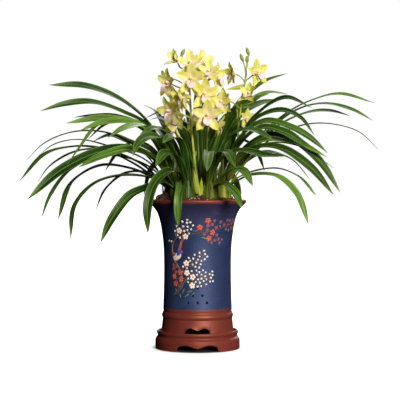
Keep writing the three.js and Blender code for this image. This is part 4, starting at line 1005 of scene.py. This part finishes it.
# Each spike: the course of its stem, how brown it is, its buds (where the stalk starts, what it
# bends over, the bud's base and tip), its bracts (start, end, width) and its blooms (the place,
# which way it looks as turn and rise in degrees, its lean, its size and how far it has opened)
SPIKES = {
    "left": {
        "stem": [(5, -50, 320), (5, -50, 334), (4.6, -50, 348), (-1, -50, 378), (-6, -50, 415),
                 (-11, -49, 468), (-14, -48, 510), (-16, -46, 554), (-18, -44, 588),
                 (-22, -43, 615), (-26, -42, 632)],
        "dark": 0.0,
        "buds": [((-26, -42, 630), (-30, -42, 642), (-37, -42, 651), (-28, -42, 668)),
                 ((-24, -42, 622), (-25, -42, 634), (-25, -42, 643), (-16, -42, 661)),
                 ((-17, -44, 580), (-44, -8, 600), (-74, -4, 607), (-80, -4, 624))],
        "bracts": [((3, -52, 348), (-12, -54, 408), 13), ((7, -51, 342), (9, -56, 384), 12),
                   ((-8, -51, 430), (-2, -56, 442), 9)],
        "blooms": {
            "left_top": ((-44, -32, 638), -50, 45, 10, 0.9, 0.35),
            "crown": ((-14, -55, 629), -8, 25, 5, 1, 1),
            "front_high": ((-13, -84, 596), -4, 2, 0, 1.1, 1),
            "side_high": ((-57, -38, 590), -52, 4, -10, 1.1, 0.95),
            "side_mid": ((-54, -60, 530), -45, -12, 8, 1.1, 1),
            "back_mid": ((-37, -2, 564), -138, 5, 0, 1.1, 0.5),
            "low": ((-46, -24, 496), -80, -38, 0, 1, 0.85),
            "back_low": ((-13, 5, 518), 150, -5, 0, 1.05, 0.5),
            "edge_on": ((-27, -100, 556), -78, -14, 10, 1, 0.9),
            "left_mid": ((-38, -55, 560), -2, -11, -14, 0.87, 0.9),
            "left_low": ((-38, 9, 515), -41, 8, -9, 0.9, 0.9),
        },
    },
    "middle": {
        "stem": [(16, -32, 320), (16, -32, 334), (16.2, -32, 350), (19, -33, 400), (21, -34, 462),
                 (20, -34, 510), (18, -34, 555), (16, -34, 590), (14, -34, 612)],
        "dark": 1.0,
        "buds": [],
        "bracts": [((17, -34, 352), (23, -38, 392), 11)],
        "blooms": {
            "top": ((10, -12, 634), 35, 35, 0, 1, 0.9),
            "right_top": ((34, -30, 604), 62, 8, 10, 1.05, 0.9),
            "side": ((38, -14, 500), 100, -12, 0, 0.9, 0.85),
            "centre": ((13, -62, 566), 14, -4, 0, 1.1, 1),
            "front_low": ((21, -84, 518), 3, -6, 0, 1.15, 1),
            "back": ((22, 12, 548), 160, 0, 0, 1.05, 0.5),
            "right_high": ((25, -74, 609), -5, 31, -3, 0.87, 0.9),
            "right_mid": ((53, -42, 549), -11, 5, -13, 0.86, 0.9),
        },
    },
    "right": {
        "stem": [(46, 3, 320), (46, 3, 334), (47.5, 3, 350), (62, 4, 390), (78, 4, 430),
                 (90, 4, 464), (92, 4, 491), (96, 4, 527), (100, 4, 559), (108, 4, 605),
                 (110, 4, 628), (112, 4, 648)],
        "dark": 0.0,
        "buds": [((112, 4, 644), (114, 4, 652), (116, 4, 657), (110, 4, 676)),
                 ((110, 4, 628), (112, 4, 636), (112, 4, 640), (111, 4, 657)),
                 ((108, 4, 620), (106, 4, 634), (103, 4, 643), (96, 4, 662)),
                 ((93, 4, 500), (90, 9, 515), (90, 11, 526), (90, 12, 550))],
        "bracts": [((105, 3, 588), (64, 0, 581), 11)],
        "blooms": {
            "left_top": ((86, 0, 615), -68, 5, 0, 0.9, 0.85),
            "right_top": ((129, 6, 617), 38, 8, 12, 1, 1),
            "mid": ((120, -18, 562), -35, 40, 0, 0.95, 0.6),
            "left_low": ((73, -14, 553), -62, 3, 5, 1, 0.9),
            "low": ((107, -4, 514), 30, 12, 0, 0.75, 0.8),
        },
    },
}


def way_it_looks(turn, rise):
    """The way a bloom looks: turned to the right from the front, and up."""
    turn, rise = math.radians(turn), math.radians(rise)
    return Vector((math.sin(turn) * math.cos(rise), -math.cos(turn) * math.cos(rise), math.sin(rise)))


def add_bract(shape, start, end, width, **values):
    """A small pointed leaf that lies against the stem."""
    start, end = Vector(start), Vector(end)
    ahead = (end - start).normalized()
    face = (Vector((0, -1, 0)) + ahead * ahead.y).normalized()
    across = ahead.cross(face)
    rings, alongs = [], []
    for i in range(BRACT_STEPS + 1):
        u = i / BRACT_STEPS
        half = max(width / 2 * (1 - 0.75 * u * u) * (1 - u**4), 0.2)
        ring, _ = blade_section(start.lerp(end, u), across, -face, half, BRACT_FOLD * (1 - u),
                                BRACT_THICK)
        rings.append(ring)
        alongs.append([u] * len(ring))
    shape.skin(rings, along=alongs, **values)


def add_bud(shape, start, over, base, tip):
    """An unopened bud on its stalk: plump, with three seams where its sepals meet."""
    base, tip = Vector(base), Vector(tip)
    round_stem(shape, [start, over, base.lerp(tip, 0.2)], BUD_STALK_RADII, 8, 12, dark=0.0, green=0.4)
    long, ahead = (tip - base).length, (tip - base).normalized()
    side = ahead.orthogonal().normalized()
    other = ahead.cross(side)
    rings, alongs = [], []
    for i in range(BUD_STEPS + 1):
        u = i / BUD_STEPS
        radius = BUD_RADIUS * eased(BUD_OUTLINE, u)
        ring = []
        for k in range(BUD_FACETS):
            a = 2 * math.pi * k / BUD_FACETS
            seamed = radius * (1 - BUD_SEAM * (math.cos(3 * a) > 0.9))
            ring.append(base + ahead * (long * u) + (side * math.cos(a) + other * math.sin(a)) * seamed)
        rings.append(ring)
        alongs.append([u] * BUD_FACETS)
    shape.skin(rings, along=alongs, dark=0.0, green=0.75)


# Flower stem: smooth and fleshy, olive-yellow where the light gets to it and green in the shade,
# the second stem nearly brown, with the same waxy shine as the leaves.
STEM_PATCH_MM = 14
flower_stem, tree, shader = new_finish("fleshy_flower_stem", Roughness=0.42, IOR=1.42)
place = add(tree, "ShaderNodeTexCoord", out="Object")
dark, green = (add(tree, "ShaderNodeAttribute", out="Fac", attribute_name=name)
               for name in ("dark", "green"))
patches = add(tree, "ShaderNodeTexNoise", {
    "Vector": place, "Scale": 1 / (STEM_PATCH_MM * MM), "Detail": 4.0}, "Fac")
browned = add(tree, "ShaderNodeMath", (dark, 0.85), operation="MULTIPLY")
olive = STEM_GREEN
for share, shade in ((patches, STEM_LIT), (green, BUD_TIP), (browned, STEM_DARK)):
    olive = add(tree, "ShaderNodeMix", {0: share, 6: olive, 7: shade}, 2, data_type="RGBA")
bump = add(tree, "ShaderNodeBump", {"Height": patches, "Strength": 0.2, "Distance": 0.6 * MM})
tree.links.new(olive, shader.inputs["Base Color"])
tree.links.new(bump, shader.inputs["Normal"])

for name, spike in SPIKES.items():
    shape = Shape()
    brown = spike["dark"]
    round_stem(shape, spike["stem"], STEM_RADII, 12, 90, dark=brown, green=0.2)
    for bud in spike["buds"]:
        add_bud(shape, *bud)
    for start, end, width in spike["bracts"]:
        add_bract(shape, start, end, width, dark=brown * 0.3, green=0.1)
    line = smooth_line(spike["stem"], 200)
    for at, turn, rise, _, size, _ in spike["blooms"].values():
        # The stalk leaves the stem below its bloom and comes up to it from behind
        look = way_it_looks(turn, rise)
        end = Vector(at) - look * (SEAT_GAP + BLOOM_BACK * size)
        start = [p for p, _ in line if p.z < end.z - STALK_RISE][-1]
        behind = end - look * STALK_BEHIND
        behind.z = max(behind.z - 3, start.z + 3)
        round_stem(shape, [start, behind, end], STALK_RADII, 9, 20, dark=brown * 0.2, green=0.15)
        tip = start.lerp(behind, 0.45) + Vector((0, 0, 1.5))
        add_bract(shape, start, tip, STALK_BRACT_WIDTH, dark=brown * 0.3, green=0.1)
    made = shape.piece("stem_" + name, flower_stem, sharp=60)
    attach(made, "root")
    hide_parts("spike_" + name)

# The blooms: three sepals and two petals round a short hooded column. They are waxy and firm,
# cupped along their middle, with rolled edges and fine veins. Each bloom grew in one piece.
TEPAL_LENGTH, TEPAL_WIDTH, TEPAL_THICK, TEPAL_STEPS = 34, 19, 0.9, 20
# Each tepal, which is a sepal or a petal: its turn round the bloom in degrees, its length and its
# width as shares, its tilt forward, its share of the bloom's closing, its curl, and 1 for a sepal
TEPALS = [
    (0, 1, 1, 20, 1, 5, 1.0),
    (-68, 0.97, 0.95, 24, 1, 14, 0.0), (68, 0.97, 0.95, 24, 1, 14, 0.0),
    (-142, 0.98, 0.92, 8, 0.5, 10, 1.0), (142, 0.98, 0.92, 8, 0.5, 10, 1.0),
]
TEPAL_OUTLINE = [(0, 0.16), (0.15, 0.52), (0.36, 0.94), (0.5, 1.0), (0.7, 0.84), (0.88, 0.44),
                 (1, 0.03)]
TEPAL_CUP, TEPAL_WAVE = 0.34, 0.10  # shares of its half width
TEPAL_ARCH, TEPAL_TIP, TEPAL_SWING = 10, 14, 4  # degrees
COLUMN_LENGTH, COLUMN_FACETS, COLUMN_STEPS = 17.4, 12, 10
COLUMN_RADII = [(0, 1.6), (0.3, 2.4), (0.7, 3.0), (0.9, 3.0), (1, 1.2)]
CLOSED = 62  # degrees that the petals of a shut bloom stand forward
LIP_SHOWS = 0.5  # a bloom that has opened further than this shows its lip
PETAL_YELLOW, PETAL_LIT, PETAL_OLIVE = "#e0cd30", "#f7ee9c", "#c4d244"
PETAL_BLUSH, PETAL_VEIN = "#fbe3cc", "#c9b03a"


def bloom_pose(at, turn, rise, lean, size):
    """Turns a point in the bloom's own frame (right, up, ahead) to where the bloom sits."""
    look = way_it_looks(turn, rise)
    right = Vector((0, 0, 1)).cross(look).normalized()
    up = look.cross(right)
    c, s = math.cos(math.radians(lean)), math.sin(math.radians(lean))
    right, up = right * c + look.cross(right) * s, up * c + look.cross(up) * s
    return lambda p: Vector(at) + (right * p.x + up * p.y + look * p.z) * size


def add_tepal(shape, pose, angle, length, width, tilt, curl, draw, **values):
    """One sepal or petal, which grows out of the bloom's middle and arches over to its tip."""
    out = Vector((math.sin(math.radians(angle)), math.cos(math.radians(angle)), 0))
    across = Vector((-out.y, out.x, 0))
    middle = Vector((0, 0, 2.4)) + out * 1.5
    phase = draw.uniform(0, FULL_TURN)
    bend = draw.uniform(-TEPAL_SWING, TEPAL_SWING)
    rings, alongs, acrosses = [], [], []
    for i in range(TEPAL_STEPS + 1):
        u = i / TEPAL_STEPS
        lean = math.radians(tilt - curl * u + TEPAL_ARCH * math.sin(math.pi * u)
                            - TEPAL_TIP * max(0, u - 0.75) * 4)
        swing = math.radians(bend * u)
        ahead = (out * math.cos(swing) + across * math.sin(swing)) * math.cos(lean)
        ahead += Vector((0, 0, 1)) * math.sin(lean)
        face = -(across.cross(ahead)).normalized()
        side = face.cross(ahead).normalized()
        half = max(width / 2 * eased(TEPAL_OUTLINE, u), 0.3)
        wave = TEPAL_WAVE * math.sin(phase + 9 * u)
        ring, sides = blade_section(middle, side, face, half, TEPAL_CUP, TEPAL_THICK, wave)
        rings.append([pose(p) for p in ring])
        acrosses.append(sides)
        alongs.append([u] * len(ring))
        middle = middle + ahead * (length / TEPAL_STEPS)
    shape.skin(rings, along=alongs, across=acrosses, **values)


def add_column(shape, pose):
    """The hooded column, with its pale anther cap."""
    rings, alongs = [], []
    for i in range(COLUMN_STEPS + 1):
        u = i / COLUMN_STEPS
        middle = Vector((0, 2.7 * math.sin(u * 1.4), -0.4 + COLUMN_LENGTH * u))
        radius = eased(COLUMN_RADII, u)
        ring = []
        for k in range(COLUMN_FACETS):
            a = 2 * math.pi * k / COLUMN_FACETS
            hood = 0.6 if k < COLUMN_FACETS / 2 else 0
            ring.append(pose(middle + Vector((
                radius * math.cos(a), radius * 0.85 * math.sin(a) + hood, 0))))
        rings.append(ring)
        alongs.append([0.0 if u < 0.8 else -0.5] * COLUMN_FACETS)
    shape.skin(rings, along=alongs, across=0.2, tint=0.9, sepal=0.0)


# Petal: waxy and half clear, so light spreads through it and its shade stays warm. Butter yellow
# with greener sepals, a creamy blush towards the heart, and fine darker veins.
PETAL_PATCH_MM = 18
PETAL_VEINS = 6  # real veins are 1 mm apart, drawn 3 mm apart so that they show
petal, tree, shader = new_finish("waxy_yellow_petal", Roughness=0.5, IOR=1.4, Subsurface_Weight=0.6,
                                 Subsurface_Radius=(1.0, 0.95, 0.45), Subsurface_Scale=4 * MM)
place = add(tree, "ShaderNodeTexCoord", out="Object")
along, across, tint, sepal, green = (
    add(tree, "ShaderNodeAttribute", out="Fac", attribute_name=name)
    for name in ("along", "across", "tint", "sepal", "green"))
patches = add(tree, "ShaderNodeTexNoise", {
    "Vector": place, "Scale": 1 / (PETAL_PATCH_MM * MM), "Detail": 3.0}, "Fac")
lit = add(tree, "ShaderNodeMapRange", (patches, 0.35, 0.65))
sepal_share = add(tree, "ShaderNodeMath", (sepal, 0.3), operation="MULTIPLY")
green_share = add(tree, "ShaderNodeMath", (green, 0.6), operation="MULTIPLY")
heart = add(tree, "ShaderNodeMapRange", (along, 0.0, 0.85, 0.75, 0.0))
heart = add(tree, "ShaderNodeMath", (heart, tint), operation="MULTIPLY")
vein = add(tree, "ShaderNodeMath", (across, PETAL_VEINS * math.pi), operation="MULTIPLY")
vein = add(tree, "ShaderNodeMath", (vein,), operation="COSINE")
veined = add(tree, "ShaderNodeMapRange", (vein, 0.5, 1.0, 0.0, 0.3))
yellow = PETAL_YELLOW
for share, shade in ((lit, PETAL_LIT), (sepal_share, PETAL_OLIVE), (green_share, PETAL_OLIVE),
                     (heart, PETAL_BLUSH), (veined, PETAL_VEIN)):
    yellow = add(tree, "ShaderNodeMix", {0: share, 6: yellow, 7: shade}, 2, data_type="RGBA")
bump = add(tree, "ShaderNodeBump", {"Height": vein, "Strength": 0.2, "Distance": 0.5 * MM})
tree.links.new(yellow, shader.inputs["Base Color"])
tree.links.new(bump, shader.inputs["Normal"])

open_blooms = {}
for spike_number, (spike_name, spike) in enumerate(SPIKES.items()):
    for number, (name, (at, turn, rise, lean, size, opened)) in enumerate(spike["blooms"].items()):
        draw = random.Random(100 + 20 * spike_number + number)
        pose = bloom_pose(at, turn, rise, lean, size)
        close = (1 - opened) * CLOSED
        # The right spike is the youngest, and its blooms are still green
        tint = draw.uniform(0.2, 0.5) if spike_name == "right" else draw.uniform(0.55, 1.0)
        green = draw.uniform(0.6, 1.0) if spike_name == "right" else draw.uniform(0.0, 0.35)
        bloom = Shape()
        add_column(bloom, pose)
        for angle, long, wide, tilt, closing, curl, sepal in TEPALS:
            add_tepal(bloom, pose, angle, TEPAL_LENGTH * long, TEPAL_WIDTH * wide,
                      tilt + close * closing, curl, draw, tint=tint, sepal=sepal, green=green)
        made = bloom.piece(f"petals_{spike_name}_{name}", petal, sharp=70)
        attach(made, "root")
        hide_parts(f"bloom_{spike_name}_{name}")
        if opened > LIP_SHOWS:
            open_blooms[f"{spike_name}_{name}"] = pose, draw

# The lips: the third petal of each open bloom, hinged under its column. It is a small boat with
# side lobes that stand up, two keels along its throat, and a front that is rolled down and wavy.
LIP_COURSE = [(-2.2, 4.8), (-5.8, 10), (-7.2, 15.5), (-10.4, 19.6), (-17.6, 20.6)]
LIP_HALF = [(0, 2.2), (0.22, 7), (0.45, 6.4), (0.68, 8.4), (0.88, 6.6), (1, 2.8)]
LIP_RAISE = [(0, 0.2), (0.22, 5.2), (0.45, 4.4), (0.7, 0.4), (1, -1.2)]
LIP_STEPS, LIP_FACETS, LIP_HALF_THICK = 22, 12, 0.4
KEEL_HIGH, KEEL_AT, KEEL_WIDE, FRILL = 0.8, 0.22, 0.1, 0.9  # at and wide: shares of half width
LIP_WHITE, LIP_PINK, LIP_YELLOW, LIP_SPOT = "#faeaea", "#eeb4bf", "#eccb4a", "#b8425a"


def add_lip(shape, pose, draw):
    """One lip, with the keels raised on its throat and its front frilled."""
    phase = draw.uniform(0, FULL_TURN)
    rings, alongs, acrosses = [], [], []
    for i, (middle, ahead) in enumerate(smooth_line([(0, y, z) for y, z in LIP_COURSE], LIP_STEPS)):
        u = i / LIP_STEPS
        up = Vector((0, ahead.z, -ahead.y))
        half, lift = eased(LIP_HALF, u), eased(LIP_RAISE, u)
        upper, lower, sides = [], [], []
        for k in range(LIP_FACETS + 1):
            c = 2 * k / LIP_FACETS - 1
            keel = KEEL_HIGH * math.exp(-((abs(c) - KEEL_AT) / KEEL_WIDE) ** 2)
            keel *= 1 - eased_step((u - 0.5) / 0.2)
            frill = FRILL * math.sin(phase + 11 * u + 3 * c) * c * c * eased_step((u - 0.5) / 0.3)
            at = middle + Vector((c * half, 0, 0)) + up * (lift * c * c + frill)
            upper.append(pose(at + up * (LIP_HALF_THICK + keel)))
            lower.append(pose(at - up * LIP_HALF_THICK))
            sides.append(c)
        rings.append(upper + lower[::-1])
        acrosses.append(sides + sides[::-1])
        alongs.append([u] * len(rings[-1]))
    shape.skin(rings, along=alongs, across=acrosses)


# Lip: white flushed with pink, its throat and its keels egg yellow, with a few crimson freckles.
# It is velvety, so it is softer and more matt than the other petals.
BLUSH_MM, FRECKLE_MM = 10, 4.5
lip_petal, tree, shader = new_finish("blushed_lip", Roughness=0.55, IOR=1.4, Subsurface_Weight=0.35,
                                     Subsurface_Radius=(1.0, 0.6, 0.5), Subsurface_Scale=3 * MM)
place = add(tree, "ShaderNodeTexCoord", out="Object")
along, across = (add(tree, "ShaderNodeAttribute", out="Fac", attribute_name=name)
                 for name in ("along", "across"))
patches = add(tree, "ShaderNodeTexNoise", {
    "Vector": place, "Scale": 1 / (BLUSH_MM * MM), "Detail": 3.0}, "Fac")
freckles = add(tree, "ShaderNodeTexVoronoi", {
    "Vector": place, "Scale": 1 / (FRECKLE_MM * MM)}, "Distance")
off_middle = add(tree, "ShaderNodeMath", (across,), operation="ABSOLUTE")
inner = add(tree, "ShaderNodeMapRange", (off_middle, 0.15, 0.5, 1.0, 0.0))
back = add(tree, "ShaderNodeMapRange", (along, 0.45, 0.75, 1.0, 0.0))
throat = add(tree, "ShaderNodeMath", (inner, back), operation="MULTIPLY")
dots = add(tree, "ShaderNodeMapRange", (freckles, 0.1, 0.28, 0.5, 0.0))
blushed = LIP_PINK
for share, shade in ((patches, LIP_WHITE), (throat, LIP_YELLOW), (dots, LIP_SPOT)):
    blushed = add(tree, "ShaderNodeMix", {0: share, 6: blushed, 7: shade}, 2, data_type="RGBA")
bump = add(tree, "ShaderNodeBump", {"Height": patches, "Strength": 0.3, "Distance": 0.8 * MM})
tree.links.new(blushed, shader.inputs["Base Color"])
tree.links.new(bump, shader.inputs["Normal"])

for name, (pose, draw) in open_blooms.items():
    lip = Shape()
    add_lip(lip, pose, draw)
    made = lip.piece("throat_" + name, lip_petal, sharp=70)
    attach(made, "root")
    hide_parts("lip_" + name)

# The table: a plain white sheet with a painted glow that lights nothing else, so that the plant
# stands in white. A painted shadow keeps it dark under the saucer, and the glow shades out to white
# round it, which washes out cast shadows there.
FLOOR_REACH = 30  # metres, as every distance from here on
SHADE_FROM, SHADE_TO, LIT_FROM, LIT_TO, TABLE_LIGHT = 0.084, 0.1, 0.088, 0.125, 0.9
TABLE_WHITE, TABLE_BRIGHT, TABLE_SHADE = "#fafafa", "#fefefe", "#1a1512"
floor_mesh = bpy.data.meshes.new("floor")
corners = [(x * FLOOR_REACH, y * FLOOR_REACH, 0) for x, y in ((-1, -1), (1, -1), (1, 1), (-1, 1))]
floor_mesh.from_pydata(corners, [], [(0, 1, 2, 3)])
floor = bpy.data.objects.new("floor", floor_mesh)
bpy.context.scene.collection.objects.link(floor)
white_floor, tree, shader = new_finish("white_table_painted_glow", Roughness=0.9)
place = add(tree, "ShaderNodeTexCoord", out="Object")
faint = add(tree, "ShaderNodeTexNoise", {"Vector": place, "Scale": 2.0, "Detail": 2.0}, "Fac")
white = add(tree, "ShaderNodeMix", {0: faint, 6: TABLE_WHITE, 7: TABLE_BRIGHT}, 2, data_type="RGBA")
from_middle = add(tree, "ShaderNodeVectorMath", (place,), "Value", operation="LENGTH")
# Painted shadow: a dark disc under the saucer
clear = add(tree, "ShaderNodeMapRange", (from_middle, SHADE_FROM, SHADE_TO))
shaded = add(tree, "ShaderNodeMix", {0: clear, 6: TABLE_SHADE, 7: white}, 2, data_type="RGBA")
# Painted glow: none under the saucer, rising to white round it
glow = add(tree, "ShaderNodeMapRange", (from_middle, LIT_FROM, LIT_TO, 0.0, TABLE_LIGHT))
tree.links.new(shaded, shader.inputs["Base Color"])
tree.links.new(white, shader.inputs["Emission Color"])
tree.links.new(glow, shader.inputs["Emission Strength"])
floor_mesh.materials.append(white_floor)
floor.visible_diffuse = floor.visible_glossy = False

# The room: white behind the plant, and dim and pale all round, a little brighter at the right, the
# front and above.
ROOM_TONE, ROOM_BRIGHT_SIDE, ROOM_LOW, ROOM_HIGH = "#f6f8fc", (0.6, -0.45, 0.66), 0.01, 0.14
world = bpy.data.worlds.new("pale_room")
world.use_nodes = True
bpy.context.scene.world = world
tree = world.node_tree
tree.nodes.remove(tree.nodes["Background"])
towards = add(tree, "ShaderNodeTexCoord", out="Generated")
brighter = add(tree, "ShaderNodeVectorMath", (towards, ROOM_BRIGHT_SIDE), "Value",
               operation="DOT_PRODUCT")
strength = add(tree, "ShaderNodeMapRange", (brighter, -0.3, 1.0, ROOM_LOW, ROOM_HIGH))
lit = add(tree, "ShaderNodeBackground", {"Color": ROOM_TONE, "Strength": strength})
seen = add(tree, "ShaderNodeBackground", {"Color": "#ffffff", "Strength": 1.0})
straight = add(tree, "ShaderNodeLightPath", out="Is Camera Ray")
both = add(tree, "ShaderNodeMixShader", (straight, lit, seen))
tree.links.new(both, tree.nodes["World Output"].inputs["Surface"])

# The lamps: a strong soft one at the right of the front, a weak one overhead and a wide one behind,
# which lights the leaves' edges. Each: where its light comes from, its strength, how wide it looks
# in degrees, and its colour.
LAMPS = {
    "key_lamp": ((0.36, -0.93, 0.32), 4.3, 20, "#fffaf0"),
    "top_lamp": ((0.3, 0.1, 1.0), 0.35, 30, "#ffffff"),
    "back_lamp": ((0.2, 0.9, 0.5), 1.8, 45, "#ffffff"),
}
for name, (source, strength, width, tone) in LAMPS.items():
    lamp = bpy.data.lights.new(name, "SUN")
    lamp.energy, lamp.angle, lamp.color = strength, math.radians(width), linear(tone)[:3]
    holder = bpy.data.objects.new(name, lamp)
    holder.rotation_euler = Vector(source).to_track_quat("Z", "Y").to_euler()
    bpy.context.scene.collection.objects.link(holder)

# The camera: a little above the pot's rim and nearly 3 m away, where the photograph was taken from.
# It looks down by less than a degree.
CAMERA_AT, CAMERA_DOWN = (0.0056, -2.9, 0.378), 0.0157  # the second in radians
LENS_MM, SENSOR_MM = 116, 36
lens = bpy.data.cameras.new("photo_camera")
lens.lens, lens.sensor_width = LENS_MM, SENSOR_MM
camera = bpy.data.objects.new("photo_camera", lens)
camera.location = CAMERA_AT
camera.rotation_euler = (math.pi / 2 - CAMERA_DOWN, 0, 0)
bpy.context.scene.collection.objects.link(camera)
bpy.context.scene.camera = camera
bpy.context.scene.view_settings.view_transform = "Standard"
